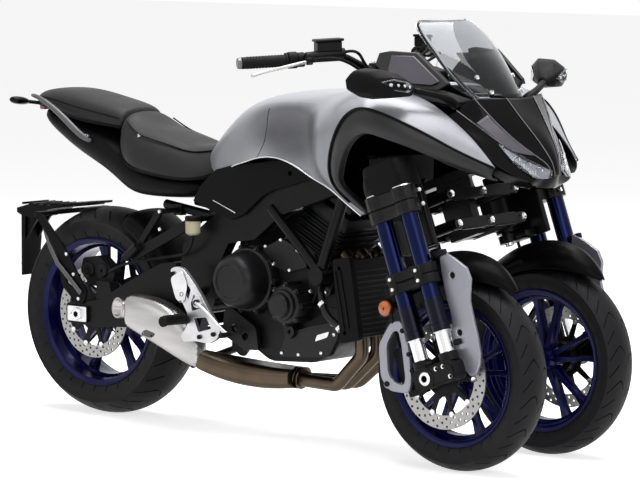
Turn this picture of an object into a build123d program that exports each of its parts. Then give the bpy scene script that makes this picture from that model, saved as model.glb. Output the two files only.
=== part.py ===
from build123d import *
import os
from math import sin, cos, tan, radians, hypot

os.makedirs("parts", exist_ok=True)

# ---------------------------------------------------------------------------
# Leaning three-wheeled motorcycle: two steered wheels in front, one driven
# wheel behind.  Lengths are millimetres.  While it is drawn, X is measured
# forward from the rear axle ("station"), Y to the left and Z up from the
# floor.  save() then moves everything so that the middle of the overall
# length is at X = 0.
# ---------------------------------------------------------------------------

# Driving dimensions -------------------------------------------------------
WHEELBASE = 1510.0
TRACK = 410.0
RAKE = 20.0
TRAIL = 74.0

# Tyres, rims and discs
FRONT_TYRE_R = 274.5
FRONT_TYRE_HALF = 59.0
FRONT_RIM_R = 205.0
FRONT_RIM_HALF = 50.0
REAR_TYRE_R = 320.0
REAR_TYRE_HALF = 95.0
REAR_RIM_R = 229.0
REAR_RIM_HALF = 82.0
RIM_WALL = 7.0
FLANGE_WIDTH = 6.0
SEAT_DEPTH = 12.0
WELL_DEPTH = 26.0
HUB_R = 34.0
FRONT_HUB_HALF = 54.0
REAR_HUB_HALF = 80.0
SPOKE_PAIRS = 5
DISC_THICKNESS = 5.0
DISC_BAND = 36.0
DISC_LINKS = 10
FRONT_DISC_R = 149.0
REAR_DISC_R = 141.0
FRONT_DISC_OFFSET = 30.0
REAR_DISC_OFFSET = 10.0
CARRIER_R = 44.0
AXLE_R = 12.5
AXLE_BORE_R = 9.0
RUNNING_GAP = 0.05

# Gaps between moving pieces
CLEARANCE = 6.0

# Where each disc stands beside its hub
FRONT_DISC_Y = FRONT_HUB_HALF + FRONT_DISC_OFFSET
REAR_DISC_Y = -(REAR_HUB_HALF + REAR_DISC_OFFSET)

# The steering frame of the left wheel: x is d, forward of the steering axis;
# y is w, outboard of the wheel plane; z is h, up along the axis from the floor.
SLANT = sin(radians(RAKE))
UPRIGHT = cos(radians(RAKE))
STEER = Plane(
    origin=(WHEELBASE + TRAIL, TRACK / 2, 0),
    x_dir=(UPRIGHT, 0, SLANT),
    z_dir=(-SLANT, 0, UPRIGHT),
)
# The same frame on the centre line
LEAN = Plane(
    origin=(WHEELBASE + TRAIL, 0, 0),
    x_dir=(UPRIGHT, 0, SLANT),
    z_dir=(-SLANT, 0, UPRIGHT),
)
AXLE_D = FRONT_TYRE_R * SLANT - TRAIL * UPRIGHT
AXLE_H = FRONT_TYRE_R * UPRIGHT + TRAIL * SLANT
REAR_AXLE_Z = REAR_TYRE_R

# Fork legs, from the axle upwards
FORK_TUBE_R = 25.0
FORK_SLIDER_R = 20.5
FORK_TUBE_W = 135.0
REAR_TUBE_D = 6.0
TUBE_SPACING = 95.0
FOOT_DEPTH = 27.0
FOOT_RISE = 31.0
SLIDER_LENGTH = 92.0
LOWER_CLAMP_RISE = 126.0
LOWER_CLAMP_HEIGHT = 56.0
CLAMP_WALL = 11.0
SOCKET_GAP = 0.1
YOKE_PLATE = 24.0
YOKE_WEB = 20.0
KINGPIN_R = 15.0
KINGPIN_HOUSING_R = 29.0
CAP_HEIGHT = 88.0
FRONT_TUBE_D = REAR_TUBE_D + TUBE_SPACING
SLIDER_FOOT_H = AXLE_H + FOOT_RISE
TUBE_FOOT_H = SLIDER_FOOT_H + SLIDER_LENGTH
LOWER_CLAMP_H = (TUBE_FOOT_H + LOWER_CLAMP_RISE, TUBE_FOOT_H + LOWER_CLAMP_RISE + LOWER_CLAMP_HEIGHT)

# Parallelogram that lets the machine lean, above the wheels
PIVOT_Y = 150.0
PIVOT_RISE = 132.0
ARM_SPACING = 86.0
PIVOT_PIN_R = 9.0
ARM_BAR = 28.0
ARM_REAR_D = -76.0
ARM_FRONT_D = 112.0
ARM_BAR_D = 18.0
LUG_R = 16.0
LUG_GAP = 6.0
CLAMP_BELOW_PIVOT = 41.0
CLAMP_ABOVE_PIVOT = 36.0
YOKE_FOOT_DROP = 52.0
LOWER_PIVOT_H = AXLE_H + FRONT_TYRE_R + PIVOT_RISE
UPPER_PIVOT_H = LOWER_PIVOT_H + ARM_SPACING
UPPER_CLAMP_H = (UPPER_PIVOT_H - CLAMP_BELOW_PIVOT, UPPER_PIVOT_H + CLAMP_ABOVE_PIVOT)
CAP_TOP_H = UPPER_CLAMP_H[1] + CAP_HEIGHT
TUBE_TOP_H = UPPER_CLAMP_H[1] + CAP_HEIGHT / 5

# Engine, swingarm and rear shock
ENGINE_HALF = 106.0
SWINGARM_IN = 116.0
SWINGARM_WALL = 34.0
SWINGARM_OUT = SWINGARM_IN + SWINGARM_WALL
SHOCK_R = 34.0
CHAIN_Y = 99.0
CHAIN_WIDTH = 6.0

# Handlebar column, measured from the front axle
COLUMN_AHEAD = -420.0
COLUMN_Z = 1040.0
COLUMN_RAKE = 24.0
COLUMN_R = 16.0
BAR_R = 11.0
BAR_Z = 1096.0
GRIP_R = 17.0
GRIP_LENGTH = 130.0
GRIP_END_Y = 410.0

# Number plate holder behind the rear tyre
PLATE_GAP = 37.5
PLATE_WALL = 8.0
PLATE_HOLE_R = 3.25
PLATE_HOLE_SPACING = 60.0
PLATE_HOLE_Z = 440.0
TAIL_REACH = REAR_TYRE_R + PLATE_GAP + PLATE_WALL

# Side stand
STAND_PIVOT = (440.0, 118.0, 236.0)
STAND_LENGTH = 250.0
STAND_FOLDED = (-0.94, 0.06, -0.336)
STAND_DOWN = (0.2, 0.5, -0.843)
STAND_PIN_R = 8.0

# Body shells
PANEL = 6.0

# Centre of the overall length, as a station
FRONT_REACH = WHEELBASE + FRONT_TYRE_R
OVERALL_LENGTH = FRONT_REACH + TAIL_REACH
ORIGIN_X = (FRONT_REACH - TAIL_REACH) / 2


# Helpers ------------------------------------------------------------------
def ahead(distance):
    """A station measured forward from the front axle."""
    return WHEELBASE + distance


def from_axle(outline):
    """An outline whose stations are measured forward from the front axle."""
    return [(ahead(x), z) for x, z in outline]


def save(shape, name):
    """Write one sub-part, moved so that the overall length is centred."""
    export_step(Pos(-ORIGIN_X, 0, 0) * shape, "parts/" + name + ".step")


def mirrored(shape):
    return mirror(shape, about=Plane.XZ)


def both_sides(shape):
    """A pair of like pieces that share one node."""
    return Compound(children=[*shape.solids(), *mirrored(shape).solids()])


def rod(start, end, radius):
    """A round bar between two points."""
    a = Vector(*start)
    b = Vector(*end)
    axis = b - a
    frame = Plane(origin=a, z_dir=axis)
    return frame * Cylinder(radius, axis.length, align=(Align.CENTER, Align.CENTER, Align.MIN))


def block(x_from, x_to, y_from, y_to, z_from, z_to):
    size = (x_to - x_from, y_to - y_from, z_to - z_from)
    middle = ((x_from + x_to) / 2, (y_from + y_to) / 2, (z_from + z_to) / 2)
    return Pos(*middle) * Box(*size)


def side_plate(outline, y_from, y_to, corner=0.0):
    """A flat plate whose outline (station, height) is seen from the side."""
    face = make_face(Polyline(*outline, close=True))
    if corner > 0:
        face = fillet(face.vertices(), corner)
    plane = Plane(origin=(0, y_to, 0), x_dir=(1, 0, 0), z_dir=(0, -1, 0))
    return extrude(plane * face, y_to - y_from)


def pipe(points, radius, bend):
    """A bent tube along straight runs joined by arcs."""
    path = FilletPolyline(*points, radius=bend)
    return sweep(Plane(origin=path @ 0, z_dir=path % 0) * Circle(radius), path=path)


def turned(profile, centre):
    """Turn a (y, radius) profile about the Y axis through centre."""
    face = make_face(Plane.YZ * Polyline(*profile, close=True))
    return Pos(*centre) * revolve(face, axis=Axis.Y)


def ring(y_from, y_to, inner, outer, centre):
    profile = [(y_from, inner), (y_to, inner), (y_to, outer), (y_from, outer)]
    return turned(profile, centre)


def oval_section(station, top_z, shoulder_y, shoulder_z, foot_y, foot_z, bulge):
    """One cross-section of a body: a crown arc, two flank arcs and a flat foot."""
    middle_y = (shoulder_y + foot_y) / 2 + bulge
    middle_z = (shoulder_z + foot_z) / 2
    crown = ThreePointArc((-shoulder_y, shoulder_z), (0, top_z), (shoulder_y, shoulder_z))
    left = ThreePointArc((shoulder_y, shoulder_z), (middle_y, middle_z), (foot_y, foot_z))
    foot = Line((foot_y, foot_z), (-foot_y, foot_z))
    right = ThreePointArc((-foot_y, foot_z), (-middle_y, middle_z), (-shoulder_y, shoulder_z))
    return Plane.YZ.offset(station) * make_face([crown, left, foot, right])


def body_loft(table):
    return loft([oval_section(*row) for row in table])


# Wheels -------------------------------------------------------------------
def tyre(radius, half_width, bead_radius, bead_half, centre):
    """A road tyre: a round crown, bulged walls and a bead that sits on the rim."""
    wall_r = bead_radius + 0.45 * (radius - bead_radius)
    shoulder_r = radius - 0.42 * half_width
    crown = ThreePointArc((-half_width, shoulder_r), (0, radius), (half_width, shoulder_r))
    left = ThreePointArc((half_width, shoulder_r), (half_width - 1, wall_r), (bead_half, bead_radius))
    bead = Line((bead_half, bead_radius), (-bead_half, bead_radius))
    right = ThreePointArc((-bead_half, bead_radius), (1 - half_width, wall_r), (-half_width, shoulder_r))
    face = make_face(Plane.YZ * (crown + left + bead + right))
    return Pos(*centre) * revolve(face, axis=Axis.Y)


# A pair of spokes at its root on the hub and at its tip on the barrel
SPOKE_ROOT = (9.0, 18.0, 34.0)
SPOKE_TIP = (38.0, 12.0, 26.0)
SPOKE_SLOPE = 0.16


def rim(flange_r, half_width, hub_half, bore_r, centre):
    """A cast rim: barrel with two flanges, a hub and pairs of tapered spokes."""
    seat_r = flange_r - SEAT_DEPTH
    well_r = flange_r - WELL_DEPTH
    flange_y = half_width - FLANGE_WIDTH
    outer = [
        (-half_width, flange_r),
        (-flange_y, flange_r),
        (FLANGE_WIDTH - flange_y, seat_r),
        (-half_width / 2, well_r),
        (half_width / 2, well_r),
        (flange_y - FLANGE_WIDTH, seat_r),
        (flange_y, flange_r),
        (half_width, flange_r),
    ]
    inner = [(y, r - RIM_WALL) for y, r in reversed(outer)]
    inner[0] = (half_width, seat_r + 1)
    inner[-1] = (-half_width, seat_r + 1)
    wheel = turned(outer + inner, (0, 0, 0))
    wheel += ring(-hub_half, hub_half, bore_r, HUB_R, (0, 0, 0))
    spokes = None
    for lean in (-1, 1):
        sections = []
        for (x, breadth, depth), z in ((SPOKE_ROOT, HUB_R - RIM_WALL), (SPOKE_TIP, well_r - RIM_WALL / 2)):
            plane = Plane(origin=(lean * x, 0, z), z_dir=(lean * SPOKE_SLOPE, 0, 1))
            sections.append(plane * Rectangle(breadth, depth))
        spoke = loft(sections, ruled=True)
        spokes = spoke if spokes is None else spokes + spoke
    for index in range(SPOKE_PAIRS):
        wheel += Rot(0, index * 360 / SPOKE_PAIRS, 0) * spokes
    return Pos(*centre) * wheel


def disc(radius, y, hub_y, centre):
    """A brake disc on a dished carrier that bolts to the hub."""
    half = DISC_THICKNESS / 2
    band_r = radius - DISC_BAND
    bell_r = CARRIER_R + 2 * RIM_WALL
    bore_r = CARRIER_R - 3 * CLEARANCE
    blade = ring(y - half, y + half, band_r, radius, (0, 0, 0))
    carrier = ring(y - half, y + half, bore_r, bell_r, (0, 0, 0))
    carrier += ring(min(y, hub_y), max(y, hub_y), bore_r, CARRIER_R, (0, 0, 0))
    for index in range(DISC_LINKS):
        link = block(-RIM_WALL, RIM_WALL, y - half, y + half, bell_r - 3, band_r + 3)
        carrier += Rot(0, index * 360 / DISC_LINKS, 0) * link
    return Pos(*centre) * (blade + carrier)


# Front suspension, left side ----------------------------------------------
def clamp_pair(h_from, h_to):
    """A clamp round both fork tubes, in the steering frame."""
    outer_r = FORK_TUBE_R + CLAMP_WALL
    waist = FORK_TUBE_R - 3
    body = block(REAR_TUBE_D, FRONT_TUBE_D, FORK_TUBE_W - waist, FORK_TUBE_W + waist, h_from, h_to)
    for d in (REAR_TUBE_D, FRONT_TUBE_D):
        body += rod((d, FORK_TUBE_W, h_from), (d, FORK_TUBE_W, h_to), outer_r)
    return without_tubes(body)


def without_tubes(shape):
    """Cut the seats of both fork tubes."""
    for d in (REAR_TUBE_D, FRONT_TUBE_D):
        shape -= rod((d, FORK_TUBE_W, TUBE_FOOT_H), (d, FORK_TUBE_W, TUBE_TOP_H), FORK_TUBE_R + SOCKET_GAP)
    return shape


def leg_pair(h_from, h_to, radius):
    """A like rod for each of the two legs."""
    places = [(d, FORK_TUBE_W) for d in (REAR_TUBE_D, FRONT_TUBE_D)]
    return Compound(children=[rod((*place, h_from), (*place, h_to), radius) for place in places])


# The cap that covers the tops of the tubes, and the plates that reach the kingpin
CAP_R = 29.0
CAP_INBOARD = 24.0
YOKE_BEHIND = 24.0
YOKE_AHEAD = 70.0


def fork_yoke():
    """Upper and lower clamps, the web and plates that reach the kingpin, and the cap."""
    web_w = KINGPIN_HOUSING_R + CLEARANCE + KINGPIN_R
    boss_r = KINGPIN_R + FORK_TUBE_R / 2
    foot_low = LOWER_PIVOT_H - YOKE_FOOT_DROP
    head_low = UPPER_CLAMP_H[1]
    yoke = clamp_pair(*UPPER_CLAMP_H)
    head_top = head_low + YOKE_PLATE
    yoke += block(-YOKE_BEHIND, FRONT_TUBE_D + CLAMP_WALL, web_w, web_w + YOKE_WEB, foot_low, head_top)
    yoke += block(-CLAMP_WALL, FRONT_TUBE_D, web_w, FORK_TUBE_W - YOKE_WEB, *UPPER_CLAMP_H)
    for low in (foot_low, head_low):
        yoke += block(-YOKE_BEHIND, YOKE_AHEAD, 0, web_w + 2, low, low + YOKE_PLATE)
        yoke += rod((0, 0, low), (0, 0, low + YOKE_PLATE), boss_r)
    yoke += rod((0, 0, foot_low), (0, 0, head_top), KINGPIN_R)
    cap_y = (web_w + CAP_INBOARD, FORK_TUBE_W + CAP_INBOARD)
    cap = block(REAR_TUBE_D, FRONT_TUBE_D, *cap_y, head_low, CAP_TOP_H)
    cap += leg_pair(head_low, CAP_TOP_H, CAP_R)
    yoke = without_tubes(yoke + cap)
    lower = clamp_pair(*LOWER_CLAMP_H)
    return Compound(children=[*yoke.solids(), *lower.solids()])


# The foot casting round the sliders
FOOT_MARGIN = 26.0
FOOT_CORNER = 16.0
FOOT_SOCKET = 22.0
AXLE_BOSS_R = 30.0
AXLE_INNER_W = -62.0
AXLE_HEAD = 8.0


def fork_foot():
    """The casting that joins both sliders, with the hollow axle."""
    low = AXLE_H - FOOT_DEPTH
    foot = block(REAR_TUBE_D - FOOT_MARGIN, FRONT_TUBE_D + FOOT_MARGIN, FORK_TUBE_W - FOOT_MARGIN,
                 FORK_TUBE_W + FOOT_MARGIN, low, SLIDER_FOOT_H)
    foot = fillet(foot.edges().filter_by(Axis.Y), FOOT_CORNER)
    for d in (REAR_TUBE_D, FRONT_TUBE_D):
        foot += rod((d, FORK_TUBE_W, SLIDER_FOOT_H - 2), (d, FORK_TUBE_W, SLIDER_FOOT_H + FOOT_SOCKET),
                    FORK_SLIDER_R + RIM_WALL)
    outer_w = FORK_TUBE_W + AXLE_BOSS_R
    foot += rod((AXLE_D, FORK_TUBE_W, AXLE_H), (AXLE_D, outer_w, AXLE_H), AXLE_BOSS_R)
    foot -= leg_pair(SLIDER_FOOT_H, TUBE_FOOT_H, FORK_SLIDER_R + SOCKET_GAP)
    head_w = (AXLE_INNER_W - AXLE_HEAD, -FRONT_HUB_HALF - 2)
    foot += rod((AXLE_D, AXLE_INNER_W, AXLE_H), (AXLE_D, outer_w + 4, AXLE_H), AXLE_R)
    foot += rod((AXLE_D, head_w[0], AXLE_H), (AXLE_D, head_w[1], AXLE_H), AXLE_R + AXLE_HEAD)
    foot -= rod((AXLE_D, -outer_w, AXLE_H), (AXLE_D, 2 * outer_w, AXLE_H), AXLE_BORE_R)
    return foot


FENDER_TABLE = [
    # degrees ahead of the axle's vertical, crown and edge above the tyre's tread, half width
    (-40, 36, 14, 56),
    (-16, 56, -12, 71),
    (8, 68, -14, 75),
    (30, 77, -2, 70),
    (44, 52, 22, 44),
]
FENDER_WALL = 5.0
FENDER_STAY = 20.0


def front_fender():
    """A deep mudguard that stands off the tyre and ends in a beak, carried by the lower clamp."""
    sections = []
    for degrees, crown, edge, half in FENDER_TABLE:
        top = FRONT_TYRE_R + crown
        foot = FRONT_TYRE_R + edge
        outer = ThreePointArc((-half, foot), (0, top), (half, foot))
        right = Line((half, foot), (half - FENDER_WALL, foot))
        inner = ThreePointArc((half - FENDER_WALL, foot), (0, top - FENDER_WALL), (FENDER_WALL - half, foot))
        left = Line((FENDER_WALL - half, foot), (-half, foot))
        turn = Pos(AXLE_D, 0, AXLE_H) * Rot(0, degrees, 0)
        sections.append(turn * (Plane.YZ * make_face([outer, right, inner, left])))
    hood = loft(sections)
    middle_d = (REAR_TUBE_D + FRONT_TUBE_D) / 2
    stay_h = LOWER_CLAMP_H[0] + FENDER_STAY
    inner_w = FENDER_TABLE[2][3] - 2 * FENDER_WALL
    outer_w = FORK_TUBE_W - FORK_TUBE_R + 3
    stay = block(middle_d - FENDER_STAY / 2, middle_d + FENDER_STAY / 2, inner_w, outer_w,
                 stay_h, stay_h + FENDER_STAY)
    return hood + stay


# The brake caliper behind the leg
CALIPER_AHEAD = (-128.0, -78.0)
CALIPER_RISE = (8.0, 112.0)
CALIPER_HALF = 26.0
CALIPER_CORNER = 12.0


def front_caliper():
    """A four-piston caliper astride the disc, bolted to the foot."""
    body = block(AXLE_D + CALIPER_AHEAD[0], AXLE_D + CALIPER_AHEAD[1], FRONT_DISC_Y - CALIPER_HALF,
                 FRONT_DISC_Y + CALIPER_HALF, AXLE_H + CALIPER_RISE[0], AXLE_H + CALIPER_RISE[1])
    body = fillet(body.edges().filter_by(Axis.Y), CALIPER_CORNER)
    gap = DISC_THICKNESS / 2 + CLEARANCE
    slot_r = FRONT_DISC_R + CLEARANCE
    body -= rod((AXLE_D, FRONT_DISC_Y - gap, AXLE_H), (AXLE_D, FRONT_DISC_Y + gap, AXLE_H), slot_r)
    lug = block(AXLE_D + CALIPER_AHEAD[0] + 18, REAR_TUBE_D - FOOT_MARGIN - 1, FRONT_DISC_Y + gap + 4,
                FRONT_DISC_Y + CALIPER_HALF + 4, AXLE_H - AXLE_BOSS_R, AXLE_H + AXLE_BOSS_R)
    return body + lug


COVER_OUTLINE = [
    # d, and height above the axle
    (150, 333), (222, 259), (226, 225), (202, 169), (196, 67), (178, -7), (138, -29), (116, 9),
    (106, 69), (116, 115), (128, 137), (128, 195), (134, 265),
]
GUARD_OUTER = [(-122, 137), (-146, 47), (-128, 3), (-66, -21), (-40, 17), (-22, 117), (-22, 179), (-60, 185)]
GUARD_INNER = [(-96, 129), (-118, 51), (-106, 23), (-74, 5), (-62, 23), (-44, 117), (-42, 155), (-62, 157)]
COVER_INBOARD = 32.0
COVER_WALL = 6.0
COVER_REACH = 69.0
COVER_BRACKETS = [
    # height above the axle, radius of the leg there
    (73.0, FORK_SLIDER_R),
    (321.0, FORK_TUBE_R),
]


def above_axle(outline):
    return [(d, AXLE_H + rise) for d, rise in outline]


def fork_cover():
    """The silver plate ahead of the legs and the silver guard loop behind them."""
    inner_w = FORK_TUBE_W - COVER_INBOARD
    cover = side_plate(above_axle(COVER_OUTLINE), inner_w, inner_w + COVER_WALL, COVER_WALL)
    bracket_y = (inner_w + 2, FORK_TUBE_W + COVER_WALL)
    for rise, leg_r in COVER_BRACKETS:
        h = AXLE_H + rise
        cover += block(FRONT_TUBE_D + leg_r, FRONT_TUBE_D + COVER_REACH, *bracket_y, h - 10, h + 10)
    guard = side_plate(above_axle(GUARD_OUTER), FORK_TUBE_W - 6, FORK_TUBE_W + 8, 8)
    guard -= side_plate(above_axle(GUARD_INNER), FORK_TUBE_W - 8, FORK_TUBE_W + 10, 6)
    return Compound(children=[*cover.solids(), *guard.solids()])


# Lean linkage --------------------------------------------------------------
def arm(pivot_h):
    """One cross arm: front and rear bars joined by three pins."""
    half = ARM_BAR / 2
    piece = None
    for d in (ARM_REAR_D, ARM_FRONT_D - ARM_BAR_D):
        bar = block(d, d + ARM_BAR_D, -PIVOT_Y, PIVOT_Y, pivot_h - half, pivot_h + half)
        for y in (-PIVOT_Y, 0, PIVOT_Y):
            bar += rod((d, y, pivot_h), (d + ARM_BAR_D, y, pivot_h), LUG_R)
        piece = bar if piece is None else piece + bar
    for y in (-PIVOT_Y, 0, PIVOT_Y):
        piece += rod((ARM_REAR_D, y, pivot_h), (ARM_FRONT_D, y, pivot_h), PIVOT_PIN_R)
    return piece


def pivot_lug(y, pivot_h):
    """A sleeve that turns on an arm's pin, between its two bars."""
    low = ARM_REAR_D + ARM_BAR_D + LUG_GAP
    high = ARM_FRONT_D - ARM_BAR_D - LUG_GAP
    return rod((low, y, pivot_h), (high, y, pivot_h), LUG_R)


def pivot_bores(shape, y):
    for pivot_h in (LOWER_PIVOT_H, UPPER_PIVOT_H):
        start = (ARM_REAR_D, y, pivot_h)
        shape -= rod(start, (ARM_FRONT_D, y, pivot_h), PIVOT_PIN_R + RUNNING_GAP)
    return shape


KNUCKLE_WEB = 22.0


def knuckle():
    """The kingpin housing with its two pivot sleeves, in the left steering frame."""
    low = LOWER_PIVOT_H - YOKE_FOOT_DROP + YOKE_PLATE + CLEARANCE
    high = UPPER_CLAMP_H[1] - CLEARANCE
    pivot_w = PIVOT_Y - TRACK / 2
    web_w = CLAMP_WALL - KINGPIN_HOUSING_R
    piece = rod((0, 0, low), (0, 0, high), KINGPIN_HOUSING_R)
    for pivot_h in (LOWER_PIVOT_H, UPPER_PIVOT_H):
        piece += pivot_lug(pivot_w, pivot_h)
        piece += block(-KNUCKLE_WEB, KNUCKLE_WEB, pivot_w, web_w, pivot_h - LUG_R + 3, pivot_h + LUG_R - 3)
    half = KNUCKLE_WEB - 2
    piece += block(-half, half, pivot_w - LUG_R / 2, web_w, LOWER_PIVOT_H, UPPER_PIVOT_H)
    piece -= rod((0, 0, low - 1), (0, 0, high + 1), KINGPIN_R + RUNNING_GAP)
    return pivot_bores(piece, pivot_w)


# The mast between the arms and the bridge over them
MAST_HALF = 16.0
MAST_BEHIND = -34.0
MAST_AHEAD = 66.0
BRIDGE_RISE = 54.0
BRIDGE_DEPTH = 24.0
BRIDGE_HALF = 26.0
BRIDGE_BEHIND = -190.0
HEEL_DEPTH = 70.0
HEEL_HALF = 44.0
NECK_DEPTH = 44.0
NECK_RISE = 60.0


def link_carrier():
    """The centre casting: pivot sleeves, a mast, and the bridge back to the frame."""
    bridge_low = UPPER_PIVOT_H + BRIDGE_RISE
    top = bridge_low + BRIDGE_DEPTH
    piece = block(MAST_BEHIND, MAST_AHEAD, -MAST_HALF, MAST_HALF, LOWER_PIVOT_H - BRIDGE_HALF, top)
    for pivot_h in (LOWER_PIVOT_H, UPPER_PIVOT_H):
        piece += pivot_lug(0, pivot_h)
    piece += block(BRIDGE_BEHIND, FRONT_TUBE_D, -BRIDGE_HALF, BRIDGE_HALF, bridge_low, top)
    heel = BRIDGE_BEHIND + HEEL_DEPTH
    piece += block(BRIDGE_BEHIND, heel, -HEEL_HALF, HEEL_HALF, LOWER_PIVOT_H - 2 * BRIDGE_HALF, top)
    neck = BRIDGE_BEHIND + NECK_DEPTH
    piece += block(BRIDGE_BEHIND, neck, -HEEL_HALF, HEEL_HALF, bridge_low, top + NECK_RISE)
    return pivot_bores(piece, 0)


# Frame, engine and rear end -------------------------------------------------
# Outlines are (station, height); what meets the front suspension is measured from the front axle.
SPAR_OUTLINE = [
    (420, 560), (520, 640), (760, 776), (ahead(-510), 820), (ahead(-450), 850), (ahead(-380), 860),
    (ahead(-380), 770), (ahead(-480), 750), (800, 670), (700, 592), (600, 577), (538, 470), (480, 300),
    (400, 300), (400, 420),
]
FRAME_TUBES = [
    # start, end, radius
    ((ahead(-450), 148, 800), (962, 162, 512), 17),
    ((760, 148, 690), (958, 160, 512), 15),
    ((962, 122, 506), (962, 186, 506), 27),
    ((560, 70, 630), (280, 70, 668), 14),
]
CROSS_MEMBERS = [
    # station from, to, height from, to
    (446, 480, 286, 308),
    (ahead(-450), ahead(-380), 780, 850),
    (520, 570, 610, 650),
]
SPAR_Y = (112.0, 150.0)
PILLION_LUGS = [(345, 655), (492, 640)]
PILLION_LUG_Y = 92.0
RAIL_Y = 70.0


def main_frame():
    """Twin spars, their lower members, the cross members and the seat rails."""
    left = side_plate(SPAR_OUTLINE, *SPAR_Y, 12)
    for start, end, radius in FRAME_TUBES:
        left += rod(start, end, radius)
    for x, z in PILLION_LUGS:
        left += block(x - LUG_R, x + LUG_R, RAIL_Y, PILLION_LUG_Y, z - LUG_R, z + LUG_R)
    frame = left + mirrored(left)
    for x_from, x_to, z_from, z_to in CROSS_MEMBERS:
        frame += block(x_from, x_to, -SPAR_Y[0] - 4, SPAR_Y[0] + 4, z_from, z_to)
    return frame


CRANKCASE_OUTLINE = [
    (560, 330), (560, 470), (620, 560), (760, 590), (900, 520), (1000, 470), (1010, 380),
    (980, 300), (900, 236), (720, 226), (640, 270),
]
CYLINDER_OUTLINE = [(760, 560), (820, 690), (900, 790), (1040, 720), (1000, 600), (930, 470)]
SPROCKET_BAY = (540, 640, 316, 444)
SPROCKET_BAY_DEPTH = 16.0


def engine_case():
    """Crankcase, gearbox and sump as one block, with the slanted cylinders on it."""
    case = side_plate(CRANKCASE_OUTLINE, -ENGINE_HALF, ENGINE_HALF, 20)
    case += side_plate(CYLINDER_OUTLINE, CLEARANCE - ENGINE_HALF, ENGINE_HALF - CLEARANCE, 12)
    x_from, x_to, z_from, z_to = SPROCKET_BAY
    return case - block(x_from, x_to, ENGINE_HALF - SPROCKET_BAY_DEPTH, ENGINE_HALF + 1, z_from, z_to)


ENGINE_COVERS = [
    # station, height, radius, how far it stands off the case, side
    (663, 471, 96, 124, -1),
    (836, 412, 58, 104, -1),
    (850, 430, 78, 99, 1),
]
COVER_EDGE = 14.0


def engine_covers():
    pieces = []
    for station, height, radius, stand_off, side in ENGINE_COVERS:
        inner_y = side * ENGINE_HALF
        outer_y = side * (ENGINE_HALF + stand_off)
        cover = rod((station, inner_y, height), (station, outer_y, height), radius)
        rim_edge = cover.edges().sort_by(Axis.Y)[0 if side < 0 else -1]
        pieces.append(fillet(rim_edge, COVER_EDGE))
    return Compound(children=pieces)


RADIATOR_CORE = [(-425, 330), (-380, 340), (-420, 560), (-465, 550)]
RADIATOR_TANK = [(-435, 320), (-372, 334), (-414, 572), (-475, 560)]
RADIATOR_CORE_Y = 185.0
RADIATOR_TANK_Y = (178.0, 200.0)


def radiator():
    core = side_plate(from_axle(RADIATOR_CORE), -RADIATOR_CORE_Y, RADIATOR_CORE_Y)
    tank = side_plate(from_axle(RADIATOR_TANK), *RADIATOR_TANK_Y, 8)
    return core + tank + mirrored(tank)


HEADER_R = 20.0
HEADER_BEND = 38.0
HEADER_ROWS = (-70.0, 0.0, 70.0)
COLLECTOR_TABLE = [
    # station, offset, height, width, depth, corner
    (790, -50, 182, 110, 56, 20),
    (640, -90, 188, 120, 70, 30),
    (520, -180, 226, 56, 60, 24),
]
MUFFLER_TABLE = [
    (520, -186, 250, 66, 110, 30),
    (400, -196, 318, 84, 140, 36),
    (250, -200, 352, 74, 104, 34),
]
MUFFLER_MOUTH = ((262, -185, 350), (200, -192, 356))
MOUTH_R = 27.0
MOUTH_WALL = 5.0


def rounded_loft(table):
    """A duct through rounded rectangles that stand across the machine's length."""
    sections = []
    for station, y, z, width, depth, corner in table:
        sections.append(Plane.YZ.offset(station) * (Pos(y, z) * RectangleRounded(width, depth, corner)))
    return loft(sections)


def exhaust_headers():
    pieces = rounded_loft(COLLECTOR_TABLE)
    foot_y, foot_z = COLLECTOR_TABLE[0][1:3]
    for y in HEADER_ROWS:
        run = [(960, y, 580), (1034, y, 500), (1044, y, 270), (950, 0.7 * y - 20, 176)]
        pieces += pipe([*run, (760, foot_y, foot_z - 4)], HEADER_R, HEADER_BEND)
    return pieces - engine_case()


def muffler():
    start, end = MUFFLER_MOUTH
    along = Vector(*end) - Vector(*start)
    mouth = rod(start, end, MOUTH_R)
    hollow = (tuple(Vector(*start) + along * 0.25), tuple(Vector(*end) + along * 0.2))
    mouth -= rod(*hollow, MOUTH_R - MOUTH_WALL)
    return rounded_loft(MUFFLER_TABLE) + mouth


SWINGARM_OUTLINE = [
    (-60, 290), (-60, 350), (20, 358), (80, 367), (205, 437), (330, 496), (392, 506), (392, 320),
    (300, 300), (60, 284),
]
SWINGARM_PIVOT = (440.0, 372.0)
SWINGARM_PIVOT_R = 25.0


def swingarm():
    """Both legs of the swingarm, its yoke and pivot tube, and the rear axle."""
    leg = side_plate(SWINGARM_OUTLINE, SWINGARM_IN, SWINGARM_OUT, 12)
    piece = leg + mirrored(leg)
    x, z = SWINGARM_PIVOT
    yoke_half = SWINGARM_IN - 8
    piece += block(346, 386, -SWINGARM_IN, SWINGARM_IN, 344, 394)
    piece += block(380, x, -yoke_half, yoke_half, 346, 394)
    piece += rod((x, -yoke_half - 2, z), (x, yoke_half + 2, z), SWINGARM_PIVOT_R)
    axle_half = SWINGARM_OUT + 16
    piece += rod((0, -axle_half, REAR_AXLE_Z), (0, axle_half, REAR_AXLE_Z), AXLE_R)
    adjuster = block(-44, 34, SWINGARM_OUT - 2, SWINGARM_OUT + 10, REAR_AXLE_Z - 24, REAR_AXLE_Z + 24)
    piece += adjuster + mirrored(adjuster)
    piece -= rod((0, -axle_half - 2, REAR_AXLE_Z), (0, axle_half + 2, REAR_AXLE_Z), AXLE_BORE_R)
    return piece


SHOCK_FOOT = (392, 0, 450)
SHOCK_TOP = (470, 0, 660)
SHOCK_EYE = (371, 0, 402)
SHOCK_EYE_R = 16.0


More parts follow.
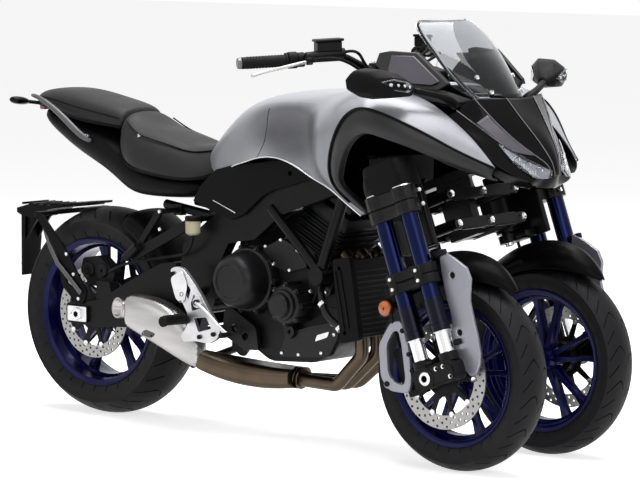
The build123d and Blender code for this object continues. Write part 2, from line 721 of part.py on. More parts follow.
def rear_shock():
    x, y, z = SHOCK_FOOT
    return rod(SHOCK_FOOT, SHOCK_TOP, SHOCK_R) + rod(SHOCK_EYE, (x, y, z + 2), SHOCK_EYE_R)


CHAIN_OUTER = [(-72, -70), (-102, 0), (-72, 72), (0, 100), (560, 92), (596, 60), (560, 20), (0, -98)]
CHAIN_INNER = [(-62, -58), (-86, 0), (-60, 60), (0, 84), (556, 78), (578, 60), (552, 32), (0, -82)]


def drive_chain():
    """Chain loop round both sprockets as one flat band on the left."""
    low = CHAIN_Y - CHAIN_WIDTH / 2
    high = CHAIN_Y + CHAIN_WIDTH / 2
    outer = side_plate([(x, REAR_AXLE_Z + rise) for x, rise in CHAIN_OUTER], low, high, 24)
    return outer - side_plate([(x, REAR_AXLE_Z + rise) for x, rise in CHAIN_INNER], low - 2, high + 2, 20)


HUGGER_GAP = 12.0
HUGGER_WALL = 6.0
HUGGER_HALF = 112.0
HUGGER_OUTLINE = [(140, 560), (160, 628), (215, 648), (292, 636), (306, 590), (262, 520), (190, 520)]


def hugger():
    """The mudguard ahead of the rear tyre: a raised block hollowed over the tyre."""
    shell = side_plate(HUGGER_OUTLINE, -HUGGER_HALF, HUGGER_HALF, 12)
    hollow_r = REAR_TYRE_R + HUGGER_GAP
    inner_y = HUGGER_HALF - HUGGER_WALL
    return shell - rod((0, -inner_y, REAR_AXLE_Z), (0, inner_y, REAR_AXLE_Z), hollow_r)


# The plate holder, measured behind the rear axle; the plate itself stands at the very back
PLATE_HEIGHT = (404.0, 486.0)
HOLDER_OUTLINE = [
    (-335, 540), (-300, 585), (-225, 618), (-150, 632), (-60, 644), (-60, 652), (-150, 644), (-221, 632),
    (-295, 636), (3 - TAIL_REACH, 618), (3 - TAIL_REACH, 604), (-345, 596), (-350, 520), (-TAIL_REACH, 490),
]
HOLDER_HALF = 62.0
HOLDER_ARM = [
    (-190, 612), (-160, 612), (-36, 488), (-20, 460), (36, 384), (14, 350), (-10, 350), (-14, 372),
    (-58, 468), (-74, 490),
]
HOLDER_ARM_WALL = 8.0
HOLDER_BAR = (-190, -160, 610, 624)


def plate_holder():
    """Number plate holder behind the tyre, on flat arms from the swingarm."""
    rear = -TAIL_REACH
    face = rear + PLATE_WALL
    upright = [(rear, PLATE_HEIGHT[0]), (face, PLATE_HEIGHT[0]), (face, PLATE_HEIGHT[1])]
    holder = side_plate(upright + HOLDER_OUTLINE, -HOLDER_HALF, HOLDER_HALF)
    x_from, x_to, z_from, z_to = HOLDER_BAR
    outer_y = SWINGARM_OUT + HOLDER_ARM_WALL
    holder += block(x_from, x_to, -outer_y, outer_y, z_from, z_to)
    arm_plate = side_plate(HOLDER_ARM, SWINGARM_OUT, outer_y, 5)
    holder += arm_plate + mirrored(arm_plate)
    for side in (-1, 1):
        y = side * PLATE_HOLE_SPACING / 2
        holder -= rod((rear - 5, y, PLATE_HOLE_Z), (face + 20, y, PLATE_HOLE_Z), PLATE_HOLE_R)
    return holder


REAR_CALIPER_OUTLINE = [(-34, 446), (-22, 488), (40, 498), (108, 448), (96, 404), (4, 404)]
REAR_CALIPER_Y = (24.0, 20.0)
REAR_CALIPER_LUG = [(60, 367), (80, 367), (122, 391), (112, 424), (60, 424)]


def rear_caliper():
    gap = DISC_THICKNESS / 2 + CLEARANCE
    outer_y = REAR_DISC_Y - REAR_CALIPER_Y[0]
    body = side_plate(REAR_CALIPER_OUTLINE, outer_y, REAR_DISC_Y + REAR_CALIPER_Y[1], 10)
    slot_r = REAR_DISC_R + CLEARANCE
    body -= rod((0, REAR_DISC_Y - gap, REAR_AXLE_Z), (0, REAR_DISC_Y + gap, REAR_AXLE_Z), slot_r)
    return body + side_plate(REAR_CALIPER_LUG, -SWINGARM_OUT + CLEARANCE, REAR_DISC_Y - gap - 2)


BRACKET_OUTLINE = [
    (452, 492), (500, 500), (560, 440), (590, 400), (640, 330), (600, 286), (500, 286), (520, 360),
    (470, 440),
]
BRACKET_WINDOW = [(505, 450), (545, 415), (575, 365), (535, 350)]
BRACKET_Y = (224.0, 242.0)
PEG_R = 15.0
RIDER_PEG = ((520, 236, 350), (505, 346, 352))
RIDER_STAY = ((498, SPAR_Y[1], 424), (498, BRACKET_Y[0] + 4, 424))
PILLION_STUB_R = 8.0
WASHER_GAP = 1.0
PILLION_HANGER = [
    (333, 664), (359, 664), (268, 548), (478, 652), (506, 652), (502, 630), (246, 503), (222, 518),
]
PILLION_HANGER_Y = (157.0, 169.0)
PILLION_PEG = ((262, 180, 546), (214, 180, 508), 13)


def rider_footrest():
    """Cast bracket with its window, the peg, and the stay to the frame."""
    bracket = side_plate(BRACKET_OUTLINE, *BRACKET_Y, 10)
    bracket -= side_plate(BRACKET_WINDOW, BRACKET_Y[0] - 2, BRACKET_Y[1] + 2, 6)
    return bracket + rod(*RIDER_PEG, PEG_R) + rod(*RIDER_STAY, PEG_R - 1)


def pillion_footrest():
    """A forked hanger that meets at the folded peg, held off the seat rails by two stubs."""
    piece = side_plate(PILLION_HANGER, *PILLION_HANGER_Y, 3)
    for x, z in PILLION_LUGS:
        piece += rod((x, PILLION_LUG_Y + WASHER_GAP, z), (x, PILLION_HANGER_Y[0] + 2, z), PILLION_STUB_R)
    start, end, radius = PILLION_PEG
    return piece + rod(start, end, radius)


# Body -----------------------------------------------------------------------
TANK_TABLE = [
    # station, top z, shoulder y, shoulder z, foot y, foot z, flank bulge
    (476, 868, 84, 846, 92, 826, 2),
    (560, 946, 124, 892, 142, 812, 8),
    (690, 1010, 168, 934, 186, 818, 12),
    (830, 1035, 214, 950, 222, 842, 14),
    (ahead(-510), 1038, 262, 962, 272, 830, 10),
]
RIDER_SEAT_TABLE = [
    (122, 962, 110, 936, 128, 800, 12),
    (200, 908, 128, 880, 150, 766, 10),
    (330, 872, 110, 850, 146, 752, 8),
    (470, 862, 80, 842, 98, 800, 4),
]
PILLION_SEAT_TABLE = [
    (-205, 985, 86, 968, 92, 944, 4),
    (-100, 1004, 112, 980, 118, 930, 6),
    (40, 978, 116, 950, 122, 890, 6),
    (118, 946, 100, 920, 104, 882, 4),
]
TAIL_TABLE = [
    (-240, 920, 60, 914, 66, 900, 2),
    (-60, 872, 104, 860, 100, 816, 2),
    (116, 780, 124, 770, 112, 730, 2),
    (240, 744, 144, 736, 126, 694, 2),
    (470, 742, 140, 736, 126, 690, 2),
]
NOSE_TABLE = [
    # height, then from the front axle: the centre and the sides; half width
    (783, 149, 60, 120),
    (826, 169, 92, 184),
    (880, 145, 80, 162),
    (960, 82, 45, 164),
    (1030, 30, -20, 150),
]
NOSE_BACK = -90.0
NOSE_WALL = 30.0
LAMP_REACH = 360.0
LAMP_OUTLINE = [(36, 824), (28, 838), (60, 872), (122, 908), (130, 894), (112, 870), (84, 844)]
# The arch: from the front axle, outboard y and height of its outer line and of its inner edge
ARCH_TABLE = [
    (-300, 262, 704, -296, 262, 716),
    (-343, 280, 737, -326, 284, 749),
    (-384, 296, 771, -362, 302, 784),
    (-381, 332, 824, -348, 330, 815),
    (-352, 360, 888, -319, 352, 861),
    (-311, 384, 948, -283, 374, 906),
    (-272, 392, 992, -235, 384, 940),
    (-224, 398, 1015, -193, 388, 944),
    (-172, 396, 1013, -150, 374, 928),
    (-104, 356, 981, -103, 356, 914),
    (-38, 306, 940, -42, 300, 879),
    (26, 252, 893, 0, 246, 846),
    (100, 196, 853, 93, 196, 816),
]
# Upper edge of each side fairing: from the front axle, inboard y, height, arch y, arch height
FAIRING_TABLE = [
    (-510, 190, 1026, 276, 900),
    (-400, 206, 1042, 340, 920),
    (-272, 214, 1038, 392, 992),
    (-160, 200, 1046, 394, 1010),
    (-38, 186, 982, 306, 940),
    (90, 168, 884, 200, 857),
]
FAIRING_BULGE = 0.11
# The rear of each fairing: from the front axle and height, with the offset of its two edges
FAIRING_REAR_TABLE = [
    # rear edge: x, y, z; front edge along the arch: x, y, z
    (-510, 276, 903, -396, 343, 920),
    (-510, 272, 836, -382, 334, 826),
    (-450, 266, 778, -385, 297, 773),
    (-330, 256, 700, -302, 262, 704),
]


def ruled_strip(table):
    """A panel ruled between short straight sections, each from one edge of the strip to the other."""
    pieces = None
    for row, following in zip(table, table[1:]):
        sections = []
        for first_x, first_y, first_z, second_x, second_y, second_z in (row, following):
            points = [
                (ahead(first_x), first_y, first_z),
                (ahead(second_x), second_y, second_z),
                (ahead(second_x), second_y - PANEL, second_z),
                (ahead(first_x), first_y - PANEL, first_z),
            ]
            sections.append(make_face(Polyline(*points, close=True)))
        piece = loft(sections, ruled=True)
        pieces = piece if pieces is None else pieces + piece
    return pieces


def arch_band():
    """The strip round the left wheel arch."""
    return ruled_strip(ARCH_TABLE)


def side_fairing():
    """The left silver panel over the wheel arch, as a thin curved shell."""
    sections = []
    for station, y_in, z_in, y_out, z_out in FAIRING_TABLE:
        bulge = FAIRING_BULGE * hypot(y_out - y_in, z_out - z_in)
        middle = ((y_in + y_out) / 2 + bulge, (z_in + z_out) / 2 + bulge)
        inner_middle = (middle[0] - 0.7 * PANEL, middle[1] - 0.7 * PANEL)
        z_out += PANEL / 2
        outer = ThreePointArc((y_in, z_in), middle, (y_out, z_out))
        edge = Line((y_out, z_out), (y_out - PANEL, z_out - 1))
        inner = ThreePointArc((y_out - PANEL, z_out - 1), inner_middle, (y_in - 1, z_in - PANEL))
        back = Line((y_in - 1, z_in - PANEL), (y_in, z_in))
        sections.append(Plane.YZ.offset(ahead(station)) * make_face([outer, edge, inner, back]))
    band = arch_band()
    panels = [loft(sections) - band, ruled_strip(FAIRING_REAR_TABLE) - band]
    return Compound(children=[panel.solids().sort_by(SortBy.VOLUME)[-1] for panel in panels])


COVER_BELOW_TANK = [
    (500, 700), (540, 752), (640, 798), (740, 814), (860, 820), (990, 780), (960, 770),
    (800, 745), (700, 690), (620, 640), (540, 652),
]
SIDE_COVER_WALL = 12.0


def side_cover():
    """Black cover under the silver flank, beside the frame."""
    inner_y = SPAR_Y[1] + 2
    return side_plate(COVER_BELOW_TANK, inner_y, inner_y + SIDE_COVER_WALL, 8)


def nose():
    """The centre cowl: bowed level sections that come to a point over the chin."""
    sections = []
    back = ahead(NOSE_BACK)
    for height, centre_x, side_x, half in NOSE_TABLE:
        side = ahead(side_x)
        front = ThreePointArc((side, -half), (ahead(centre_x), 0), (side, half))
        outline = front + Polyline((side, half), (back, half), (back, -half), (side, -half))
        sections.append(Plane.XY.offset(height) * make_face(outline))
    return loft(sections, ruled=True)


def nose_and_lamps():
    """The cowl with a headlamp let into each side of its face."""
    cowl = nose()
    face = cowl - Pos(-NOSE_WALL, 0, 0) * cowl
    lamps = []
    for side in (1, -1):
        outline = make_face(Polyline(*[(side * y, z) for y, z in LAMP_OUTLINE], close=True))
        prism = extrude(Plane.YZ.offset(ahead(NOSE_BACK)) * outline, LAMP_REACH)
        lamps.extend((face & prism).solids())
        cowl -= face & prism
    return cowl, Compound(children=lamps)


SCREEN_TABLE = [
    # from the front axle: centre and edge; half width, height
    (35, -40, 110, 1030.5),
    (-70, -150, 150, 1160),
    (-180, -240, 150, 1250),
]
SCREEN_WALL = 4.0


def windscreen():
    """A clear screen ruled between three cross arcs."""
    sections = []
    for centre, edge, half, z in SCREEN_TABLE:
        outer = ThreePointArc((ahead(edge), -half), (ahead(centre), 0), (ahead(edge), half))
        back = ahead(edge) - SCREEN_WALL
        inner = ThreePointArc((back, half), (ahead(centre) - SCREEN_WALL - 1, 0), (back, -half))
        first = Line((ahead(edge), half), (back, half))
        last = Line((back, -half), (ahead(edge), -half))
        sections.append(Plane.XY.offset(z) * make_face([outer, first, inner, last]))
    return loft(sections, ruled=True)


MIRROR_TABLE = [
    # outboard y, from the front axle, height, length, depth, corner
    (300, -106, 1062, 30, 30, 12),
    (346, -108, 1080, 96, 74, 30),
    (400, -132, 1082, 124, 90, 34),
    (442.5, -160, 1078, 96, 56, 24),
]
MIRROR_STALK = ((-104, 304, 1062), (-60, 212, 1042), (-66, 160, 1014))
STALK_R = 10.0


def mirror_unit():
    """A swept pod on a bent stalk."""
    sections = []
    for y, x, z, length, depth, corner in MIRROR_TABLE:
        plane = Plane(origin=(ahead(x), y, z), x_dir=(1, 0, 0), z_dir=(0, 1, 0))
        sections.append(plane * RectangleRounded(length, depth, corner))
    pod = loft(sections)
    points = [(ahead(x), y, z) for x, y, z in MIRROR_STALK]
    for start, end in zip(points, points[1:]):
        pod += rod(start, end, STALK_R)
    return pod


GRAB_RAIL = [(-240, 118, 985), (-150, 150, 972), (-20, 142, 872), (20, 120, 850)]
GRAB_RAIL_R = 11.0
TAIL_LAMP = (-262, -236, -60, 60, 930, 962)
INDICATOR = ((-235, 70, 950), (-262, 185, 965))
INDICATOR_R = 10.0
DASH = (-360, -250, -80, 80, 1050, 1110)
RESERVOIR_R = 24.0
# The reservoir is bolted against the outer face of the right pillion hanger
RESERVOIR_Y = -(PILLION_HANGER_Y[1] + RESERVOIR_R)
RESERVOIR = ((497, RESERVOIR_Y, 596), (497, RESERVOIR_Y, 650))


def rear_lamps():
    lamp = block(*TAIL_LAMP)
    indicators = both_sides(rod(*INDICATOR, INDICATOR_R))
    return Compound(children=[*lamp.solids(), *indicators.solids()])


def instruments():
    x_from, x_to, *rest = DASH
    return block(ahead(x_from), ahead(x_to), *rest)


# Each half of the bar, from the column: x, y and height over the clamp
BAR_RUN = [(0, 0, 0), (0, 60, 0), (-10, 170, 44), (-190, GRIP_END_Y, 28)]
BAR_BEND = 50.0
BAR_CLAMP = (24.0, 50.0, 16.0)
COLUMN_DROP = 150.0


def column_top():
    lean = tan(radians(COLUMN_RAKE))
    return ahead(COLUMN_AHEAD) - (BAR_Z - COLUMN_Z) * lean


def bar_points(side):
    return [(column_top() + x, side * y, BAR_Z + rise) for x, y, rise in BAR_RUN]


def handlebar():
    """Bar, clamp and column, drawn in the machine's frame."""
    lean = tan(radians(COLUMN_RAKE))
    top_x = column_top()
    foot = (ahead(COLUMN_AHEAD) + COLUMN_DROP * lean, 0, COLUMN_Z - COLUMN_DROP)
    piece = rod(foot, (top_x, 0, BAR_Z), COLUMN_R)
    for side in (-1, 1):
        piece += pipe(bar_points(side), BAR_R, BAR_BEND)
    length, half, depth = BAR_CLAMP
    return piece + block(top_x - length, top_x + length, -half, half, BAR_Z - depth, BAR_Z + depth)


def grip():
    start, end = [Vector(*p) for p in bar_points(1)[2:]]
    along = (end - start).normalized()
    sleeve = rod(tuple(end - along * GRIP_LENGTH), tuple(end), GRIP_R)
    return sleeve - rod(tuple(start), tuple(end + along * GRIP_R), BAR_R)


def stand_axis():
    """The tilted pivot that swings the leg from folded to down and outwards."""
    return Vector(*STAND_FOLDED).cross(Vector(*STAND_DOWN)).normalized()


STAND_LEG_R = 12.0
STAND_FOOT = Vector(-4, 36, 8)


def side_stand():
    pivot = Vector(*STAND_PIVOT)
    axis = stand_axis()
    tip = pivot + Vector(*STAND_FOLDED).normalized() * STAND_LENGTH
    leg = rod(tuple(pivot), tuple(tip), STAND_LEG_R)
    leg += rod(tuple(tip), tuple(tip + STAND_FOOT), STAND_LEG_R - 1)
    leg += rod(tuple(pivot - axis * STAND_LEG_R), tuple(pivot + axis * STAND_LEG_R), STAND_PIN_R + 11)
    return leg - rod(tuple(pivot - axis * 30), tuple(pivot + axis * 30), STAND_PIN_R + RUNNING_GAP)


STAND_BOSS = (18.0, 34.0)
STAND_BOSS_R = 20.0


def stand_bracket():
    """Lug on the left pivot plate with the pin that the side stand turns on."""
    x, y, z = STAND_PIVOT
    pivot = Vector(x, y, z)
    axis = stand_axis()
    inner, outer = STAND_BOSS
    pin = rod(tuple(pivot - axis * (STAND_LEG_R + 2)), tuple(pivot + axis * outer), STAND_PIN_R)
    boss = rod(tuple(pivot + axis * inner), tuple(pivot + axis * outer), STAND_BOSS_R)
    web = block(x - 20, x + 24, y - 46, y - 24, z - 16, z + 64)
    return pin + boss + web


# Write every sub-part -------------------------------------------------------
def chassis_parts():
    cowl, lamps = nose_and_lamps()
    frame = main_frame() + stand_bracket()
    return {
        "main_frame": frame,
        "link_carrier": LEAN * link_carrier() - frame,
        "engine_block": engine_case(),
        "engine_covers": engine_covers(),
        "radiator": radiator(),
        "exhaust_headers": exhaust_headers(),
        "muffler": muffler(),
        "swingarm": swingarm(),
        "rear_shock": rear_shock(),
        "drive_chain": drive_chain(),
        "rear_hugger": hugger(),
        "plate_holder": plate_holder(),
        "rear_caliper": rear_caliper(),
        "rider_footrests": both_sides(rider_footrest()),
        "pillion_footrests": both_sides(pillion_footrest()),
        "tank_cover": body_loft(TANK_TABLE),
        "rider_seat": body_loft(RIDER_SEAT_TABLE),
        "pillion_seat": body_loft(PILLION_SEAT_TABLE),
        "tail_cover": body_loft(TAIL_TABLE),
        "nose_cowl": cowl,
        "headlamps": lamps,
        "side_fairings": both_sides(side_fairing()),
        "arch_bands": both_sides(arch_band()),
        "side_covers": both_sides(side_cover()),
        "windscreen": windscreen(),
        "mirrors": both_sides(mirror_unit()),
        "grab_rails": both_sides(pipe(GRAB_RAIL, GRAB_RAIL_R, 30)),
        "rear_lamps": rear_lamps(),
        "dash": instruments(),
        "brake_reservoir": rod(*RESERVOIR, RESERVOIR_R),
    }


def moving_parts():
    rear_centre = (0, 0, REAR_AXLE_Z)
    return {
        "handlebar": handlebar(),
        "grips": both_sides(grip()),
        "upper_arm": LEAN * arm(UPPER_PIVOT_H),
        "lower_arm": LEAN * arm(LOWER_PIVOT_H),
        "side_stand": side_stand(),
        "rear_tyre": tyre(REAR_TYRE_R, REAR_TYRE_HALF, REAR_RIM_R, REAR_RIM_HALF, rear_centre),
        "rear_rim": rim(REAR_RIM_R, REAR_RIM_HALF, REAR_HUB_HALF, AXLE_R + RUNNING_GAP, rear_centre),
        "rear_disc": disc(REAR_DISC_R, REAR_DISC_Y, -REAR_HUB_HALF, rear_centre),
    }


def left_front_parts():
    centre = (WHEELBASE, TRACK / 2, FRONT_TYRE_R)
    return {
        "knuckle": STEER * knuckle(),
        "fork_tubes": STEER * leg_pair(TUBE_FOOT_H, TUBE_TOP_H, FORK_TUBE_R),
        "fork_sliders": STEER * leg_pair(SLIDER_FOOT_H, TUBE_FOOT_H, FORK_SLIDER_R),
        "fork_yoke": STEER * fork_yoke(),
        "fork_foot": STEER * fork_foot(),
        "front_fender": STEER * front_fender(),
        "front_caliper": STEER * front_caliper(),
        "fork_cover": STEER * fork_cover(),
        "front_tyre": tyre(FRONT_TYRE_R, FRONT_TYRE_HALF, FRONT_RIM_R, FRONT_RIM_HALF, centre),
        "front_rim": rim(FRONT_RIM_R, FRONT_RIM_HALF, FRONT_HUB_HALF, AXLE_R + RUNNING_GAP, centre),
        "front_disc": disc(FRONT_DISC_R, FRONT_DISC_Y, FRONT_HUB_HALF, centre),
    }


for part_name, piece in {**chassis_parts(), **moving_parts()}.items():
    save(piece, part_name)
for part_name, piece in left_front_parts().items():
    save(piece, part_name + "_left")
    save(mirrored(piece), part_name + "_right")
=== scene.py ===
# %% [markdown]
# A leaning three-wheeled motorcycle, dressed for a studio picture.
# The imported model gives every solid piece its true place.  This notebook adds the finishes, the curved body
# panels, the tyre tread and the small hardware, one group of pieces at a time.

# %% Load the frame
from math import asin, cos, hypot, pi, radians, sin, sqrt

import bmesh
import bpy
from mathutils import Matrix, Vector
from mathutils.bvhtree import BVHTree


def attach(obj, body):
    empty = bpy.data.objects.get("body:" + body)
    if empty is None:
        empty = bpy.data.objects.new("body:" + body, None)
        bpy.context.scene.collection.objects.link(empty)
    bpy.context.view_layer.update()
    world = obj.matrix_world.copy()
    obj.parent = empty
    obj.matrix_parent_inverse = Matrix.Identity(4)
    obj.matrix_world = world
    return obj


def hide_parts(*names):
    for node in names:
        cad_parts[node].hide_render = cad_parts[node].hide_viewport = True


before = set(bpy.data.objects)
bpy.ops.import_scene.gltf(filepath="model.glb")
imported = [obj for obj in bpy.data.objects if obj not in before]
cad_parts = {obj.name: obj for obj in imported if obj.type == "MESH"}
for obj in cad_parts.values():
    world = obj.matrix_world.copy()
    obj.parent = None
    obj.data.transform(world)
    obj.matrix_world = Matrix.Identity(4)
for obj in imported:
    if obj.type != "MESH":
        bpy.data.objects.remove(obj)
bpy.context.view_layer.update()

# %% [markdown]
# The row frame has its origin in the middle of the machine's length.  The makers' drawings of a motorcycle
# measure forward from the rear axle, so the sizes below are stations from that axle in millimetres.
# The front legs are raked, so a second frame follows them: d forward of the steering axis, w outboard of
# the wheel and h up along the axis.  Each frame is one matrix, and a piece is drawn flat and then carried over.

# %% Frames of measure
WHEELBASE = 1510.0
HALF_TRACK = 205.0
RAKE = radians(20)
TRAIL = 74.0
FRONT_TYRE_R = 274.5
REAR_TYRE_R = 320.0
ORIGIN_X = 709.5
MM = 0.001

TO_ROW = Matrix.Scale(MM, 4) @ Matrix.Translation((-ORIGIN_X, 0, 0))
MIRROR_Y = Matrix.Scale(-1, 4, (0, 1, 0))
STEER_AXES = Matrix((
    (cos(RAKE), 0, -sin(RAKE), WHEELBASE + TRAIL),
    (0, 1, 0, HALF_TRACK),
    (sin(RAKE), 0, cos(RAKE), 0),
    (0, 0, 0, 1),
))
AXLE_D = FRONT_TYRE_R * sin(RAKE) - TRAIL * cos(RAKE)
AXLE_H = FRONT_TYRE_R * cos(RAKE) + TRAIL * sin(RAKE)


def point(x, y, z):
    """A point in metres in the row frame, from a station, an offset to the left and a height in millimetres."""
    return TO_ROW @ Vector((x, y, z))


def wheel_frame(x, y, z):
    """A frame whose origin is a wheel's centre and whose Y axis is the axle."""
    return TO_ROW @ Matrix.Translation((x, y, z))


FRAMES = {"left": TO_ROW, "right": TO_ROW @ MIRROR_Y}
LEG_FRAMES = {name: where @ STEER_AXES for name, where in FRAMES.items()}

# %% Camera
CAMERA_PLACE = (7708.35, -8299.02, 1629.42)
CAMERA_YAW = radians(39.672)
CAMERA_DIP = radians(5.5156)
CAMERA_ROLL = radians(0.2297)
CAMERA_LENS = 207.17
SENSOR_WIDTH = 36
CLIP_END = 100


def add_camera():
    forward = Vector((-sin(CAMERA_YAW) * cos(CAMERA_DIP), cos(CAMERA_YAW) * cos(CAMERA_DIP), -sin(CAMERA_DIP)))
    across = Vector((cos(CAMERA_YAW), sin(CAMERA_YAW), 0))
    upward = across.cross(forward)
    right = across * cos(CAMERA_ROLL) + upward * sin(CAMERA_ROLL)
    up = upward * cos(CAMERA_ROLL) - across * sin(CAMERA_ROLL)
    data = bpy.data.cameras.new("camera")
    data.lens = CAMERA_LENS
    data.sensor_width = SENSOR_WIDTH
    data.clip_end = CLIP_END
    camera = bpy.data.objects.new("camera", data)
    bpy.context.scene.collection.objects.link(camera)
    turn = Matrix((right, up, -forward)).transposed().to_4x4()
    camera.matrix_world = Matrix.Translation(point(*CAMERA_PLACE)) @ turn
    bpy.context.scene.camera = camera


add_camera()

# %% [markdown]
# A finish is a Principled shader with two layers of noise.  A broad one drifts the roughness and the shade a
# little, as handling and dust do, and a fine one is the grain that a cast, sprayed or moulded skin has.  The
# pattern reads Object coordinates, so it stays on the piece from every side and in every pose.

# %% Finishes
NOISE_DETAIL = 3.0
NOISE_SPAN = (0.3, 0.7)
BROAD_SCALE = 22
ROUGH_DRIFT = 0.15
COAT_ROUGHNESS = 0.06
CAST_DRIFT = 0.12
SHEEN = 0.5
PAINT_DRIFT = 0.04


def new_node(nodes, kind, values=(), **settings):
    """A shader node with its settings and the values of its inputs."""
    node = nodes.new("ShaderNode" + kind)
    for key, value in settings.items():
        setattr(node, key, value)
    for key, value in dict(values).items():
        node.inputs[key].default_value = value
    return node


def node_material(name):
    """A new material with its nodes, its links, its shader and the Object coordinates."""
    material = bpy.data.materials.new(name)
    material.use_nodes = True
    nodes = material.node_tree.nodes
    shader = nodes["Principled BSDF"]
    place = new_node(nodes, "TexCoord").outputs["Object"]
    return material, nodes, material.node_tree.links, shader, place


def add_noise(nodes, links, vector, scale):
    noise = new_node(nodes, "TexNoise", {"Scale": scale, "Detail": NOISE_DETAIL})
    links.new(vector, noise.inputs["Vector"])
    return noise.outputs["Fac"]


def add_range(nodes, links, value, low, high, span=NOISE_SPAN, kind="LINEAR"):
    values = {"From Min": span[0], "From Max": span[1], "To Min": low, "To Max": high}
    spread = new_node(nodes, "MapRange", values, interpolation_type=kind)
    links.new(value, spread.inputs["Value"])
    return spread.outputs["Result"]


def add_bump(nodes, links, height, depth, shader):
    bump = new_node(nodes, "Bump", {"Strength": 1.0, "Distance": depth})
    links.new(height, bump.inputs["Height"])
    links.new(bump.outputs["Normal"], shader.inputs["Normal"])


def add_shades(nodes, links, value, colour, drift, shader):
    """The colour, a little darker and a little lighter by the noise."""
    ramp = new_node(nodes, "ValToRGB")
    for stop, position, share in zip(ramp.color_ramp.elements, NOISE_SPAN, (1 - drift, 1 + drift)):
        stop.position = position
        stop.color = (*[min(1, c * share) for c in colour], 1)
    links.new(value, ramp.inputs["Fac"])
    links.new(ramp.outputs["Color"], shader.inputs["Base Color"])


def add_vector_steps(nodes, links, place, steps):
    """Vector maths, one step after another: each is an operation and its second value."""
    for operation, value in steps:
        step = new_node(nodes, "VectorMath", {1: value} if value else {}, operation=operation)
        links.new(place, step.inputs[0])
        place = step.outputs["Value" if operation == "LENGTH" else "Vector"]
    return place


def finish(name, colour, metallic=0.0, roughness=0.5, grain=600, depth=0.00004, coat=0.0, drift=CAST_DRIFT,
           stretch=(1, 1, 1), sheen=SHEEN):
    """A solid finish: its colour, its gloss and the grain of its skin."""
    material, nodes, links, shader, place = node_material(name)
    if stretch != (1, 1, 1):
        mapping = new_node(nodes, "Mapping", {"Scale": stretch})
        links.new(place, mapping.inputs["Vector"])
        place = mapping.outputs["Vector"]
    broad = add_noise(nodes, links, place, BROAD_SCALE)
    fine = add_noise(nodes, links, place, grain)
    add_shades(nodes, links, broad, colour, drift, shader)
    rough = add_range(nodes, links, broad, roughness * (1 - ROUGH_DRIFT), min(1, roughness * (1 + ROUGH_DRIFT)))
    links.new(rough, shader.inputs["Roughness"])
    add_bump(nodes, links, fine, depth, shader)
    for key, value in (("Metallic", metallic), ("Coat Weight", coat), ("Coat Roughness", COAT_ROUGHNESS),
                       ("Specular IOR Level", sheen)):
        shader.inputs[key].default_value = value
    return material


